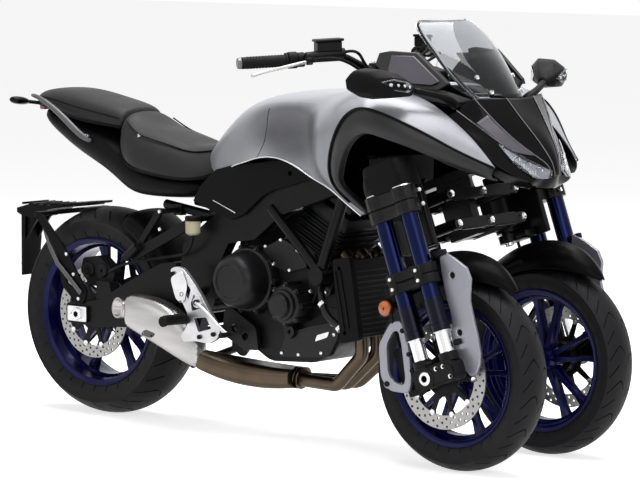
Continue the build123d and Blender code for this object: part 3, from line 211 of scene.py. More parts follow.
FINISHES = {
    # name: colour, metallic, roughness, grain, depth, coat, sheen
    "silver_paint": ((0.36, 0.365, 0.40), 0.2, 0.34, 1500, 0.00002, 0.12, 0.35),
    "arch_grey": ((0.030, 0.029, 0.031), 0.3, 0.40, 1200, 0.00003, 0.05, 0.25),
    "moulded_black": ((0.0055, 0.0055, 0.006), 0.0, 0.46, 900, 0.00008, 0.0, 0.07),
    "gloss_black": ((0.0025, 0.0025, 0.003), 0.0, 0.18, 900, 0.000005, 0.04, 0.09),
    "frame_black": ((0.006, 0.006, 0.0065), 0.0, 0.34, 700, 0.00004, 0.0, 0.13),
    "cast_black": ((0.009, 0.009, 0.010), 0.0, 0.44, 420, 0.00012, 0.0, 0.12),
    "engine_charcoal": ((0.012, 0.012, 0.0135), 0.1, 0.40, 380, 0.00012, 0.0, 0.15),
    "leg_blue": ((0.0015, 0.0055, 0.042), 0.8, 0.18, 1500, 0.00001, 0.05, 0.3),
    "rim_blue": ((0.0025, 0.003, 0.065), 0.3, 0.24, 1500, 0.00001, 0.08, 0.15),
    "chrome": ((0.82, 0.82, 0.83), 1.0, 0.10, 1500, 0.000005, 0.0),
    "bright_steel": ((0.66, 0.66, 0.67), 1.0, 0.28, 1200, 0.00002, 0.0),
    "cast_alloy": ((0.62, 0.62, 0.64), 0.85, 0.36, 300, 0.00010, 0.0),
    "clamp_bronze": ((0.012, 0.0115, 0.0125), 0.4, 0.36, 700, 0.00004, 0.0, 0.2),
    "header_gold": ((0.085, 0.064, 0.045), 1.0, 0.32, 260, 0.00006, 0.0),
    "tyre_rubber": ((0.010, 0.010, 0.0115), 0.0, 0.55, 700, 0.00010, 0.0, 0.16),
    "soft_rubber": ((0.007, 0.007, 0.007), 0.0, 0.60, 800, 0.00010, 0.0, 0.12),
    "amber_lens": ((0.80, 0.16, 0.01), 0.0, 0.20, 200, 0.00003, 0.5),
    "red_lens": ((0.40, 0.010, 0.010), 0.0, 0.16, 200, 0.00003, 0.6),
    "cream_plastic": ((0.72, 0.66, 0.46), 0.0, 0.35, 500, 0.00003, 0.2),
    "panel_violet": ((0.088, 0.080, 0.097), 0.5, 0.38, 1400, 0.00003, 0.1),
    "rail_grey": ((0.10, 0.10, 0.105), 0.5, 0.40, 900, 0.00004, 0.0),
    "sleeve_dark": ((0.003, 0.004, 0.012), 0.5, 0.30, 900, 0.00002, 0.05, 0.2),
    "shield_silver": ((0.33, 0.33, 0.38), 0.5, 0.36, 1400, 0.00003, 0.08),
    "hood_black": ((0.0025, 0.0025, 0.003), 0.0, 0.34, 900, 0.00003, 0.0, 0.05),
    # A near-lightless black without sheen, used as painted shade: inside the arches and in the silencer's bore.
    "painted_shade_black": ((0.0012, 0.0012, 0.0013), 0.0, 0.70, 900, 0.00003, 0.0, 0.0),
    "cover_charcoal": ((0.0125, 0.0125, 0.014), 0.25, 0.34, 500, 0.00008, 0.0, 0.25),
    "bolt_dark": ((0.06, 0.06, 0.063), 0.9, 0.34, 900, 0.00003, 0.0),
    # ridge_grey is the grey of the bar ends, and also the painted highlight along the nose ridges.
    "ridge_grey": ((0.16, 0.16, 0.17), 0.6, 0.30, 900, 0.00002, 0.0),
    "lamp_white": ((0.86, 0.88, 0.92), 0.0, 0.22, 300, 0.00002, 0.6),
    "lamp_grey": ((0.22, 0.225, 0.24), 0.3, 0.25, 300, 0.00002, 0.3),
}
made = {}
for name, (colour, metallic, roughness, grain, depth, coat, *sheen) in FINISHES.items():
    made[name] = finish(name, colour, metallic, roughness, grain, depth, coat,
                        drift=PAINT_DRIFT if coat else CAST_DRIFT, sheen=sheen[0] if sheen else SHEEN)
print("finishes:", len(made))

# %% [markdown]
# Three finishes need a pattern of their own.  Seat vinyl has a leather grain, which Voronoi cells give.  A
# rolled or turned metal has fine lines one way, so its noise is stretched.  A clear screen lets light
# through, and its smoke tint is in the transmission colour.  The silver paint also gets painted shade: a
# soft dark patch in the knee recess, in place of the shade and the dark reflection there.

# %% Vinyl, brushed metal and clear plastic
LEATHER_SCALE = 420


def seat_vinyl():
    material, nodes, links, shader, place = node_material("seat_vinyl")
    cells = new_node(nodes, "TexVoronoi", {"Scale": LEATHER_SCALE}, feature="DISTANCE_TO_EDGE")
    links.new(place, cells.inputs["Vector"])
    broad = add_noise(nodes, links, place, 14)
    add_shades(nodes, links, broad, (0.008, 0.008, 0.009), 0.2, shader)
    links.new(add_range(nodes, links, broad, 0.46, 0.60), shader.inputs["Roughness"])
    shader.inputs["Specular IOR Level"].default_value = 0.28
    add_bump(nodes, links, cells.outputs["Distance"], 0.0003, shader)
    return material


def clear_plastic(name, tint, roughness=0.02):
    material, nodes, links, shader, place = node_material(name)
    shader.inputs["Base Color"].default_value = (*tint, 1)
    shader.inputs["Transmission Weight"].default_value = 1.0
    shader.inputs["IOR"].default_value = 1.35
    haze = add_noise(nodes, links, place, 18)
    links.new(add_range(nodes, links, haze, roughness, roughness * 2), shader.inputs["Roughness"])
    return material


# Painted shade in the knee recess: its centre, its reach, how dark it gets and its soft edge.
RECESS_CENTRE = (0.185, 0, 0.915)
RECESS_REACH = (0.19, 1, 0.095)
RECESS_PAINTED_SHADE = 0.34
RECESS_SPAN = (0.45, 1.25)


def paint_shade_patch(material, centre, reach, shade, span):
    """A painted shade: a soft darker patch over a base colour, round a centre, on both sides of the machine."""
    nodes, links = material.node_tree.nodes, material.node_tree.links
    shader = nodes["Principled BSDF"]
    base = shader.inputs["Base Color"].links[0].from_socket
    place = new_node(nodes, "TexCoord").outputs["Object"]
    steps = (("SUBTRACT", centre), ("MULTIPLY", (1 / reach[0], 0, 1 / reach[2])), ("LENGTH", None))
    away = add_vector_steps(nodes, links, place, steps)
    scaled = new_node(nodes, "VectorMath", operation="SCALE")
    links.new(base, scaled.inputs[0])
    links.new(add_range(nodes, links, away, shade, 1.0, span, "SMOOTHSTEP"), scaled.inputs["Scale"])
    links.new(scaled.outputs["Vector"], shader.inputs["Base Color"])


# The silver paint is darkened in the knee recess: painted shade for the shade and dark reflection there.
paint_shade_patch(made["silver_paint"], RECESS_CENTRE, RECESS_REACH, RECESS_PAINTED_SHADE, RECESS_SPAN)
made["seat_vinyl"] = seat_vinyl()
made["clear_screen"] = clear_plastic("clear_screen", (0.42, 0.44, 0.47))
made["lamp_lens"] = clear_plastic("lamp_lens", (0.93, 0.95, 0.98))
made["brushed_steel"] = finish(
    "brushed_steel", (0.40, 0.39, 0.38), 1.0, 0.30, 220, 0.00005, stretch=(0.15, 1.6, 1.6)
)

NODE_FINISH = {
    "silver_paint": ["tank_cover", "side_fairings"],
    "arch_grey": ["arch_bands"],
    "moulded_black": ["side_covers", "tail_cover", "rear_hugger", "plate_holder", "dash", "grab_rails"],
    "gloss_black": ["nose_cowl", "mirrors", "front_fender"],
    "frame_black": ["main_frame", "swingarm", "upper_arm", "lower_arm", "link_carrier", "knuckle", "handlebar",
                    "side_stand", "pillion_footrests"],
    "cast_black": ["fork_foot", "front_caliper", "rear_caliper", "radiator", "drive_chain"],
    "engine_charcoal": ["engine_block", "engine_covers"],
    "clamp_bronze": ["fork_yoke"],
    "leg_blue": ["fork_tubes"],
    "chrome": ["fork_sliders"],
    "rim_blue": ["front_rim", "rear_rim"],
    "bright_steel": ["front_disc", "rear_disc", "rear_shock"],
    "cast_alloy": ["rider_footrests", "fork_cover"],
    "brushed_steel": ["muffler"],
    "header_gold": ["exhaust_headers"],
    "tyre_rubber": ["front_tyre", "rear_tyre"],
    "seat_vinyl": ["rider_seat", "pillion_seat"],
    "soft_rubber": ["grips"],
    "clear_screen": ["windscreen"],
    "lamp_white": ["headlamps"],
    "red_lens": ["rear_lamps"],
    "cream_plastic": ["brake_reservoir"],
}


def dress_nodes():
    count = 0
    for name, stems in NODE_FINISH.items():
        for node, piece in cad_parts.items():
            if any(node in (stem, stem + "_left", stem + "_right") for stem in stems):
                piece.data.materials.clear()
                piece.data.materials.append(made[name])
                count += 1
    return count


print("dressed nodes:", dress_nodes())

# %% [markdown]
# Every new piece is a bmesh that is drawn in millimetres, carried over by its frame's matrix, and then linked,
# shaded and tied to the body that it moves with.  One function does that for all of them.  Most pieces ride on
# the chassis.

# %% Linking a piece
BEVEL_ANGLE = radians(30)


def add_piece(mesh, name, material, where=TO_ROW, body="chassis", slot=None, replaces=(), **form):
    """A bmesh in millimetres becomes a named piece that rides on a body."""
    bmesh.ops.transform(mesh, matrix=where, verts=mesh.verts)
    if where.determinant() < 0:
        bmesh.ops.reverse_faces(mesh, faces=mesh.faces)
    data = bpy.data.meshes.new(name)
    mesh.to_mesh(data)
    mesh.free()
    return link_piece(data, name, material, body, slot, replaces, **form)


def link_piece(data, name, material, body, slot, replaces=(), smooth=35, bevel=0.0, levels=0, wall=0.0):
    """A finished mesh gets its look, its modifiers and its body; the slot is not used."""
    data.materials.clear()
    data.materials.append(made[material])
    data.shade_smooth()
    data.set_sharp_from_angle(angle=radians(smooth))
    piece = bpy.data.objects.new(name, data)
    bpy.context.scene.collection.objects.link(piece)
    if levels:
        curve = piece.modifiers.new("curve", "SUBSURF")
        curve.levels = levels
        curve.render_levels = levels
        curve.boundary_smooth = "PRESERVE_CORNERS"
    if wall:
        shell = piece.modifiers.new("shell", "SOLIDIFY")
        shell.thickness = wall * MM
        shell.offset = -1
    if bevel:
        edge = piece.modifiers.new("edge", "BEVEL")
        edge.width = bevel * MM
        edge.segments = 2
        edge.limit_method = "ANGLE"
        edge.angle_limit = BEVEL_ANGLE
    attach(piece, body)
    if replaces:
        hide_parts(*replaces)
    return piece


# %% [markdown]
# Five ways of drawing cover most of the machine.  A plate is an outline with holes, filled and pulled thick.
# A turned piece is a profile spun about the axle.  A skin bridges rings that are laid along a body.  A net is
# a grid whose points are pulled onto the surface.  A tube follows a curve.

# %% Plates and turned pieces
def ring_points(radius, count, centre=(0, 0)):
    return [(centre[0] + radius * cos(2 * pi * i / count), centre[1] + radius * sin(2 * pi * i / count))
            for i in range(count)]


def closed_loop(mesh, corners):
    """A closed line of edges through the corners."""
    verts = [mesh.verts.new(corner) for corner in corners]
    return [mesh.edges.new((a, b)) for a, b in zip(verts, verts[1:] + verts[:1])]


def draw_plate(mesh, outline, holes=(), low=0.0, high=1.0, windows=()):
    """A flat plate: its outline, windows and round holes are (x, z), and it fills y from low to high."""
    edges = closed_loop(mesh, [(x, low, z) for x, z in outline])
    for window in windows:
        edges += closed_loop(mesh, [(x, low, z) for x, z in window])
    for (x, z), radius, count in holes:
        edges += closed_loop(mesh, [(a, low, b) for a, b in ring_points(radius, count, (x, z))])
    filled = bmesh.ops.triangle_fill(mesh, use_beauty=True, use_dissolve=False, edges=edges)
    faces = [item for item in filled["geom"] if isinstance(item, bmesh.types.BMFace)]
    pulled = bmesh.ops.extrude_face_region(mesh, geom=faces, use_keep_orig=True)
    moved = [item for item in pulled["geom"] if isinstance(item, bmesh.types.BMVert)]
    bmesh.ops.translate(mesh, vec=(0, high - low, 0), verts=moved)
    bmesh.ops.recalc_face_normals(mesh, faces=mesh.faces)
    return moved


def eased(outline, radius, steps=3):
    """The outline with each corner replaced by a short arc of points."""
    corners = []
    count = len(outline)
    for i, corner in enumerate(outline):
        here = Vector(corner)
        back = Vector(outline[i - 1]) - here
        on = Vector(outline[(i + 1) % count]) - here
        start = here + back.normalized() * min(radius, back.length * 0.45)
        end = here + on.normalized() * min(radius, on.length * 0.45)
        for step in range(steps + 1):
            t = step / steps
            corners.append(tuple(start * (1 - t) ** 2 + here * (2 * t * (1 - t)) + end * t * t))
    return corners


def draw_turned(mesh, profile, steps=64, centre=(0, 0, 0), closed=True):
    """Spin a (y, radius) profile about the Y axis through the centre."""
    start = set(mesh.verts)
    verts = [mesh.verts.new((centre[0], centre[1] + y, centre[2] + radius)) for y, radius in profile]
    edges = [mesh.edges.new((a, b)) for a, b in zip(verts, verts[1:] + (verts[:1] if closed else []))]
    bmesh.ops.spin(mesh, geom=verts + edges, cent=centre, axis=(0, 1, 0), angle=2 * pi, steps=steps,
                   use_merge=True, use_normal_flip=False, use_duplicate=False)
    fresh = [vert for vert in mesh.verts if vert not in start]
    faces = list(dict.fromkeys(face for vert in fresh for face in vert.link_faces))
    bmesh.ops.recalc_face_normals(mesh, faces=faces)
    return fresh


# %% Skins and nets
SEAM = 0.6


def draw_skin(mesh, rings, capped=True):
    """Bridge rings of points, laid one behind the other, into one closed skin."""
    loops = [closed_loop(mesh, ring) for ring in rings]
    for first, second in zip(loops, loops[1:]):
        bmesh.ops.bridge_loops(mesh, edges=first + second)
    if capped:
        for loop in (loops[0], loops[-1]):
            bmesh.ops.edgeloop_fill(mesh, edges=loop)
    bmesh.ops.recalc_face_normals(mesh, faces=mesh.faces)


def draw_net(mesh, rows):
    """A grid whose points are pulled onto rows of surface points; every row has as many points."""
    count = len(rows[0])
    bmesh.ops.create_grid(mesh, x_segments=count - 1, y_segments=len(rows) - 1, size=1)
    mesh.verts.ensure_lookup_table()
    for i, row in enumerate(rows):
        for j, place in enumerate(row):
            mesh.verts[i * count + j].co = place


def face_out(mesh, outward):
    """Turn an open net's faces towards a side."""
    total = Vector((0, 0, 0))
    for face in mesh.faces:
        face.normal_update()
        total += face.normal * face.calc_area()
    if total.dot(Vector(outward)) < 0:
        bmesh.ops.reverse_faces(mesh, faces=mesh.faces)


def add_net(name, rows, outward, material, where=TO_ROW, body="chassis", slot=None, replaces=(), levels=2,
            wall=3.0, smooth=35):
    """A thin panel: a net over rows of surface points, smoothed and given its wall on the inside."""
    mesh = bmesh.new()
    draw_net(mesh, rows)
    face_out(mesh, outward)
    return add_piece(mesh, name, material, where, body, slot, replaces, smooth=smooth, levels=levels, wall=wall)


def add_part(mesh, part):
    """Pour a part's mesh into another one."""
    data = bpy.data.meshes.new("part")
    part.to_mesh(data)
    part.free()
    mesh.from_mesh(data)
    bpy.data.meshes.remove(data)


def mirror_over(mesh):
    """Add the right half to a left half, joined along the middle."""
    bmesh.ops.mirror(mesh, geom=mesh.verts[:] + mesh.edges[:] + mesh.faces[:], matrix=Matrix.Identity(4),
                     merge_dist=SEAM, axis="Y")
    bmesh.ops.recalc_face_normals(mesh, faces=mesh.faces)


def draw_sections(mesh, half_rings):
    """A skin over sections across the machine: a station, and the left half's (y, z) from crown to foot."""
    draw_skin(mesh, [[(x, y, z) for y, z in half] + [(x, -y, z) for y, z in reversed(half) if y > 0.01]
                     for x, half in half_rings])


# %% Bars, bolts and tubes
def drawn(draw, *values, **named):
    """A new mesh with one shape in it."""
    mesh = bmesh.new()
    draw(mesh, *values, **named)
    return mesh


def draw_upright(mesh, profile, place, steps, turn=90, axis="X", closed=True):
    """Spin a profile about Y, turn it about an axis through the origin and set it in its place."""
    verts = draw_turned(mesh, profile, steps, closed=closed)
    bmesh.ops.rotate(mesh, verts=verts, cent=(0, 0, 0), matrix=Matrix.Rotation(radians(turn), 3, axis))
    bmesh.ops.translate(mesh, verts=verts, vec=place)


def draw_bar(mesh, start, end, radius, count=16, tip=None):
    """A round bar between two points, or a cone when its tip has a radius of its own."""
    a = Vector(start)
    b = Vector(end)
    turn = (b - a).to_track_quat("Z", "Y").to_matrix().to_4x4()
    where = Matrix.Translation((a + b) / 2) @ turn
    made_cone = bmesh.ops.create_cone(mesh, cap_ends=True, cap_tris=False, segments=count, radius1=radius,
                                      radius2=radius if tip is None else tip, depth=(b - a).length, matrix=where)
    return made_cone["verts"]


def draw_box(mesh, low, high, ease=0.0, turn=None):
    """A block between two corners, its edges eased when that is asked for."""
    low = Vector(low)
    high = Vector(high)
    size = Matrix.Diagonal((*(high - low), 1))
    where = Matrix.Translation((low + high) / 2) @ size
    verts = bmesh.ops.create_cube(mesh, size=1, matrix=where)["verts"]
    if ease:
        edges = list(dict.fromkeys(edge for vert in verts for edge in vert.link_edges))
        verts = bmesh.ops.bevel(mesh, geom=edges, offset=ease, segments=2, profile=0.5, affect="EDGES",
                                material=-1)["verts"]
    if turn is not None:
        bmesh.ops.transform(mesh, matrix=turn, verts=verts)
    return verts


def draw_bolt(mesh, place, direction, radius, height):
    """A socket-head bolt: a low drum with a recessed socket."""
    axis = Vector(direction).normalized()
    turn = axis.to_track_quat("Z", "Y").to_matrix().to_4x4()
    where = Matrix.Translation(place) @ turn @ Matrix.Translation((0, 0, height / 2))
    head = bmesh.ops.create_cone(mesh, cap_ends=True, cap_tris=False, segments=12, radius1=radius,
                                 radius2=radius * 0.94, depth=height, matrix=where)
    top = max((f for v in head["verts"] for f in v.link_faces), key=lambda f: f.calc_center_median().dot(axis))
    bmesh.ops.inset_individual(mesh, faces=[top], thickness=radius * 0.42, depth=0)
    bmesh.ops.translate(mesh, vec=-axis * height * 0.6, verts=top.verts)


def add_bolts(name, spots, where=TO_ROW, body="chassis", material="bright_steel"):
    """One piece of bolts; each is a place, a direction, a radius and a height."""
    mesh = bmesh.new()
    for spot in spots:
        draw_bolt(mesh, *spot)
    add_piece(mesh, name, material, where, body)


def add_tube(name, places, radius, material, where=TO_ROW, body="chassis", slot=None):
    """A tube along smooth curves through control points, as one piece."""
    curve = bpy.data.curves.new(name, "CURVE")
    curve.dimensions = "3D"
    curve.bevel_depth = radius * MM
    curve.bevel_resolution = 3
    curve.use_fill_caps = True
    for run in places:
        line = curve.splines.new("NURBS")
        line.points.add(len(run) - 1)
        for spot, target in zip(line.points, run):
            spot.co = (*(where @ Vector(target)), 1)
        line.order_u = 3
        line.use_endpoint_u = True
        line.resolution_u = 6
    shape = bpy.data.objects.new(name + "_line", curve)
    bpy.context.scene.collection.objects.link(shape)
    bpy.context.view_layer.update()
    data = bpy.data.meshes.new_from_object(shape)
    bpy.data.objects.remove(shape)
    return link_piece(data, name, material, body, slot, smooth=60)

# %% [markdown]
# A road tyre is a ring of repeated tread tiles.  The cheapest way to real grooves is one grid that is wrapped
# round the wheel: its columns are slanted like the tread, the narrow columns are the grooves, and those faces
# are pushed inwards.  A groove here starts at the shoulder, climbs towards the crown and then hooks back.

# %% Tyres
LEFT_WHEEL = (WHEELBASE, HALF_TRACK, FRONT_TYRE_R)
RIGHT_WHEEL = (WHEELBASE, -HALF_TRACK, FRONT_TYRE_R)
REAR_WHEEL = (0, 0, REAR_TYRE_R)
TILE_COLUMNS = (0.0, 0.05, 0.10, 0.30, 0.35, 0.55, 0.60, 0.80, 0.85)
CROWN_ROWS = [
    # share of the half width, turn of the tread line in radians
    (0.0, -0.03),
    (0.10, -0.07),
    (0.22, -0.13),
    (0.35, -0.165),
    (0.50, -0.145),
    (0.65, -0.105),
    (0.80, -0.055),
    (0.92, -0.018),
    (1.0, 0.0),
]
GROOVES = [
    # column, side, share of the half width from and to
    (1, -1, 0.10, 0.92),
    (5, -1, 0.50, 0.92),
    (3, 1, 0.10, 0.92),
    (7, 1, 0.50, 0.92),
]
GROOVE_DEPTH = 4.0
SHOULDER_DROP = 0.42
WALL_SHARE = 0.45
TYRES = [
    # name, body, node, centre x, y; radius, half width, bead radius, bead half width, tiles
    ("front_tyre_skin_left", "front_wheel_left", "front_tyre_left", *LEFT_WHEEL, 59, 205, 50, 17),
    ("front_tyre_skin_right", "front_wheel_right", "front_tyre_right", *RIGHT_WHEEL, 59, 205, 50, 17),
    ("rear_tyre_skin", "rear_wheel", "rear_tyre", *REAR_WHEEL, 95, 229, 82, 15),
]


def half_profile(radius, half, bead_r, bead_half):
    """Rows from the crown's middle to the bead: offset, radius and turn."""
    shoulder_r = radius - SHOULDER_DROP * half
    drop = radius - shoulder_r
    bow = (half * half + drop * drop) / (2 * drop)
    rows = []
    for share, turn in CROWN_ROWS:
        y = share * half
        rows.append((y, radius - bow + sqrt(bow * bow - y * y), turn))
    wall_r = bead_r + WALL_SHARE * (radius - bead_r)
    return rows + [
        (half - 0.4, (2 * shoulder_r + wall_r) / 3, 0),
        (half - 0.8, wall_r + 6, 0),
        (half - 3.0, wall_r + 1, 0),
        (half - 3.0, wall_r - 4, 0),
        (half - 5.0, (wall_r + bead_r) / 2, 0),
        (bead_half - 1, bead_r + 5, 0),
        (bead_half - 4, bead_r - 1, 0),
    ]


def add_tyre(name, body, node, x, y, radius, half, bead_r, bead_half, tiles):
    side_rows = half_profile(radius, half, bead_r, bead_half)
    rows = [(-y_, r, turn) for y_, r, turn in reversed(side_rows[1:])] + side_rows
    columns = [(tile + share) / tiles for tile in range(tiles) for share in TILE_COLUMNS] + [1.0]
    surface = []
    for y_, r, turn in rows:
        angles = [2 * pi * column + turn for column in columns]
        surface.append([(r * sin(a), y_, r * cos(a)) for a in angles])
    mesh = bmesh.new()
    draw_net(mesh, surface)
    mesh.faces.ensure_lookup_table()
    per_row = len(columns) - 1
    width = len(TILE_COLUMNS)
    sunk = []
    for i, (first, second) in enumerate(zip(rows, rows[1:])):
        middle = (first[0] + second[0]) / 2 / half
        if max(abs(first[0]), abs(second[0])) > half - 0.2:
            continue
        for column, side, low, high in GROOVES:
            if middle * side > 0 and low < abs(middle) < high:
                sunk += [mesh.faces[i * per_row + j] for j in range(per_row) if j % width == column]
    pushed = bmesh.ops.extrude_face_region(mesh, geom=sunk)
    bmesh.ops.delete(mesh, geom=sunk, context="FACES_ONLY")
    for vert in [item for item in pushed["geom"] if isinstance(item, bmesh.types.BMVert)]:
        reach = hypot(vert.co.x, vert.co.z)
        shrink = (reach - GROOVE_DEPTH) / reach
        vert.co.x *= shrink
        vert.co.z *= shrink
    bmesh.ops.remove_doubles(mesh, verts=mesh.verts, dist=0.01)
    bmesh.ops.recalc_face_normals(mesh, faces=mesh.faces)
    loops = [edge for edge in mesh.edges if edge.is_boundary]
    bmesh.ops.bridge_loops(mesh, edges=loops)
    bmesh.ops.recalc_face_normals(mesh, faces=mesh.faces)
    count = len(mesh.faces)
    add_piece(mesh, name, "tyre_rubber", wheel_frame(x, y, radius), body, replaces=[node], smooth=28)
    return count


for row in TYRES:
    print(row[0], "faces:", add_tyre(*row))

# %% [markdown]
# A brake disc is a flat steel ring drilled in three staggered rows.  It floats on round buttons at the ends of
# a dark carrier's arms.  The holes are drawn as loops inside the outline, so one fill leaves them open.

# %% Brake discs
DISC_R = 149.0
DISC_ROWS = ((119.0, 0.0), (130.5, 0.5), (142.0, 0.0))
HOLES_A_ROW = 26
HOLE_R = 4.0
DISC_HALF = 2.5
DISCS = [
    # stem, body, node, wheel centre, offset from it, outer and inner radius, hub side
    ("front_disc_ring_left", "front_wheel_left", "front_disc_left", *LEFT_WHEEL, 84, 149, 110, -1),
    ("front_disc_ring_right", "front_wheel_right", "front_disc_right", *RIGHT_WHEEL, -84, 149, 110, 1),
    ("rear_disc_ring", "rear_wheel", "rear_disc", *REAR_WHEEL, -90, 141, 104, 1),
]
BUTTONS = 10
CARRIER_HUB_R = 58.0
RING_SCALE = 900


def add_disc(name, body, node, x, y, wheel_r, offset, outer, inner, hub_side):
    where = wheel_frame(x, y + offset, wheel_r)
    blade = bmesh.new()
    holes = [((0, 0), inner, 72)]
    for radius, shift in DISC_ROWS:
        reach = radius * outer / DISC_R
        for i in range(HOLES_A_ROW):
            angle = 2 * pi * (i + shift) / HOLES_A_ROW
            holes.append(((reach * cos(angle), reach * sin(angle)), HOLE_R, 8))
    draw_plate(blade, ring_points(outer, 96), holes, -DISC_HALF, DISC_HALF)
    add_piece(blade, name, "disc_steel", where, body, replaces=[node], smooth=30)
    carrier = bmesh.new()
    draw_turned(carrier, [(-DISC_HALF, 26), (DISC_HALF, 26), (DISC_HALF, CARRIER_HUB_R),
                          (-DISC_HALF, CARRIER_HUB_R)], 48)
    draw_turned(carrier, [(0, 26), (hub_side * 30, 26), (hub_side * 30, 42), (0, 46)], 48)
    for i in range(BUTTONS):
        turn = Matrix.Rotation(2 * pi * (i + 0.5) / BUTTONS, 4, "Y")
        arm = bmesh.ops.create_cone(carrier, cap_ends=True, cap_tris=False, segments=4, radius1=13, radius2=9,
                                    depth=inner - CARRIER_HUB_R + 12)["verts"]
        lift = Matrix.Translation((0, 0, (inner + CARRIER_HUB_R) / 2 - 1))
        flat = Matrix.Diagonal((1, 0.34, 1, 1)) @ Matrix.Rotation(pi / 4, 4, "Z")
        bmesh.ops.transform(carrier, matrix=turn @ lift @ flat, verts=arm)
    add_piece(carrier, name.replace("ring", "carrier"), "cast_black", where, body, bevel=1.0)
    buttons = bmesh.new()
    for i in range(BUTTONS):
        angle = 2 * pi * (i + 0.5) / BUTTONS
        place = ((inner - 1) * sin(angle), 0, (inner - 1) * cos(angle))
        for side in (-1, 1):
            draw_bolt(buttons, (place[0], side * DISC_HALF, place[2]), (0, side, 0), 8.5, 2.2)
    add_piece(buttons, name.replace("ring", "buttons"), "bright_steel", where, body)


def disc_steel(centres):
    """Turned steel: fine rings about the nearest axle, as the pads leave them."""
    material, nodes, links, shader, place = node_material("disc_steel")
    nearest = new_node(nodes, "Math", operation="MINIMUM")
    for i, (x, z) in enumerate(centres):
        steps = (("SUBTRACT", (x, 0, z)), ("MULTIPLY", (1, 0, 1)), ("LENGTH", None))
        links.new(add_vector_steps(nodes, links, place, steps), nearest.inputs[i])
    rings = new_node(nodes, "TexNoise", {"Scale": RING_SCALE}, noise_dimensions="1D")
    links.new(nearest.outputs[0], rings.inputs["W"])
    add_shades(nodes, links, rings.outputs["Fac"], (0.33, 0.325, 0.315), 0.12, shader)
    links.new(add_range(nodes, links, rings.outputs["Fac"], 0.30, 0.42), shader.inputs["Roughness"])
    add_bump(nodes, links, rings.outputs["Fac"], 0.00003, shader)
    shader.inputs["Metallic"].default_value = 0.85
    return material


AXLES = [((x - ORIGIN_X) * MM, z * MM) for x, z in ((WHEELBASE, FRONT_TYRE_R), (0, REAR_TYRE_R))]
made["disc_steel"] = disc_steel(AXLES)
for row in DISCS:
    add_disc(*row)
print("discs:", len(DISCS))

# %% [markdown]
# The rims are cast in one piece: a barrel with two round lips and five forked spokes.  The barrel is a turned
# profile.  Each spoke is an I-beam that starts thick at the hub and forks into a V towards the barrel.

# %% Rims
RIMS = [
    # name, body, node, wheel x, y, tyre radius; lip radius, half width, hub half width
    ("front_rim_cast_left", "front_wheel_left", "front_rim_left", *LEFT_WHEEL, 205, 50, 54),
    ("front_rim_cast_right", "front_wheel_right", "front_rim_right", *RIGHT_WHEEL, 205, 50, 54),
    ("rear_rim_cast", "rear_wheel", "rear_rim", *REAR_WHEEL, 229, 82, 80),
]
SPOKES = 5
HUB_R = 30
BEAM_STEPS = [
    # along the spoke: share of its length, half thickness, half depth
    (0.0, 9, 20),
    (0.35, 7.5, 17),
    (0.75, 6.5, 14),
    (1.0, 11, 17),
]
BEAM_CORNERS = [(1, -1), (1, -0.6), (0.55, -0.45), (0.55, 0.45), (1, 0.6), (1, 1)]


def mirrored(profile):
    """The same profile on the other side of the wheel."""
    return [(-y, radius) for y, radius in profile]


def add_rim(name, body, node, x, y, wheel_r, lip, half, hub):
    where = wheel_frame(x, y, wheel_r)
    outer = [(half, lip - 1), (half - 2, lip), (half - 6, lip - 2), (half - 9, lip - 12),
             (half * 0.55, lip - 14), (half * 0.4, lip - 25)]
    inner = [(half - 0.5, lip - 7), (half - 8, lip - 18), (half * 0.5, lip - 22), (half * 0.36, lip - 32)]
    mesh = bmesh.new()
    draw_turned(mesh, mirrored(outer) + outer[::-1] + inner + mirrored(inner)[::-1], 96)
    draw_turned(mesh, mirrored([(hub, 13), (hub, 26), (hub - 8, 30), (22, 36)])
                + [(22, 36), (hub - 8, 30), (hub, 26), (hub, 13)], 40)
    for i in range(SPOKES):
        turn = Matrix.Rotation(2 * pi * i / SPOKES, 3, "Y")
        for lean in (-1, 1):
            rings = []
            for share, thick, deep in BEAM_STEPS:
                across = lean * (7 + 33 * share)
                rise = HUB_R + (lip - 30 - HUB_R) * share
                ring = [(across - thick * a, deep * b, rise) for a, b in BEAM_CORNERS]
                ring += [(across + thick * a, deep * b, rise) for a, b in reversed(BEAM_CORNERS)]
                rings.append([turn @ Vector(corner) for corner in ring])
            draw_skin(mesh, rings)
    add_piece(mesh, name, "rim_blue", where, body, replaces=[node], smooth=35, bevel=1.2)


for row in RIMS:
    add_rim(*row)
print("rims:", len(RIMS))

# %% [markdown]
# Each front wheel hangs from two tubes in front of one another.  Clamps that look like a figure of eight hold
# them.  The clamp is drawn as one outline round both tubes, pulled up between two heights and bevelled, which
# is how the casting is machined.

# %% Fork clamps
TUBE_W = 135.0
TUBE_D = (6.0, 101.0)
TUBE_R = 25.0
TUBE_FOOT_H = 406.3
UPPER_CLAMP_H = (734.8, 811.8)
LOWER_CLAMP_H = (532.3, 588.3)
CAP_TOP_H = 899.5
CLAMP_R = 36.0
CLAMP_WAIST = 25.0


def eight_outline(radius, waist, steps=9):
    """The figure of eight round both tubes, as (d, w) points."""
    first, second = TUBE_D
    turn = asin(min(1, waist / radius))
    points = []
    for centre, start in ((second, -pi + turn), (first, turn)):
        sweep = 2 * pi - 2 * turn
        for i in range(steps + 1):
            angle = start + sweep * i / steps
            points.append((centre + radius * cos(angle), TUBE_W + radius * sin(angle)))
    return points


def draw_lift(mesh, outline, low, high, shrink=0.0):
    """An outline of (d, w) points pulled up the leg from one height to another."""
    middle = Vector((sum(d for d, _ in outline) / len(outline), sum(w for _, w in outline) / len(outline)))
    top = [Vector(p).lerp(middle, shrink) for p in outline]
    draw_skin(mesh, [[(d, w, low) for d, w in outline], [(p.x, p.y, high) for p in top]])


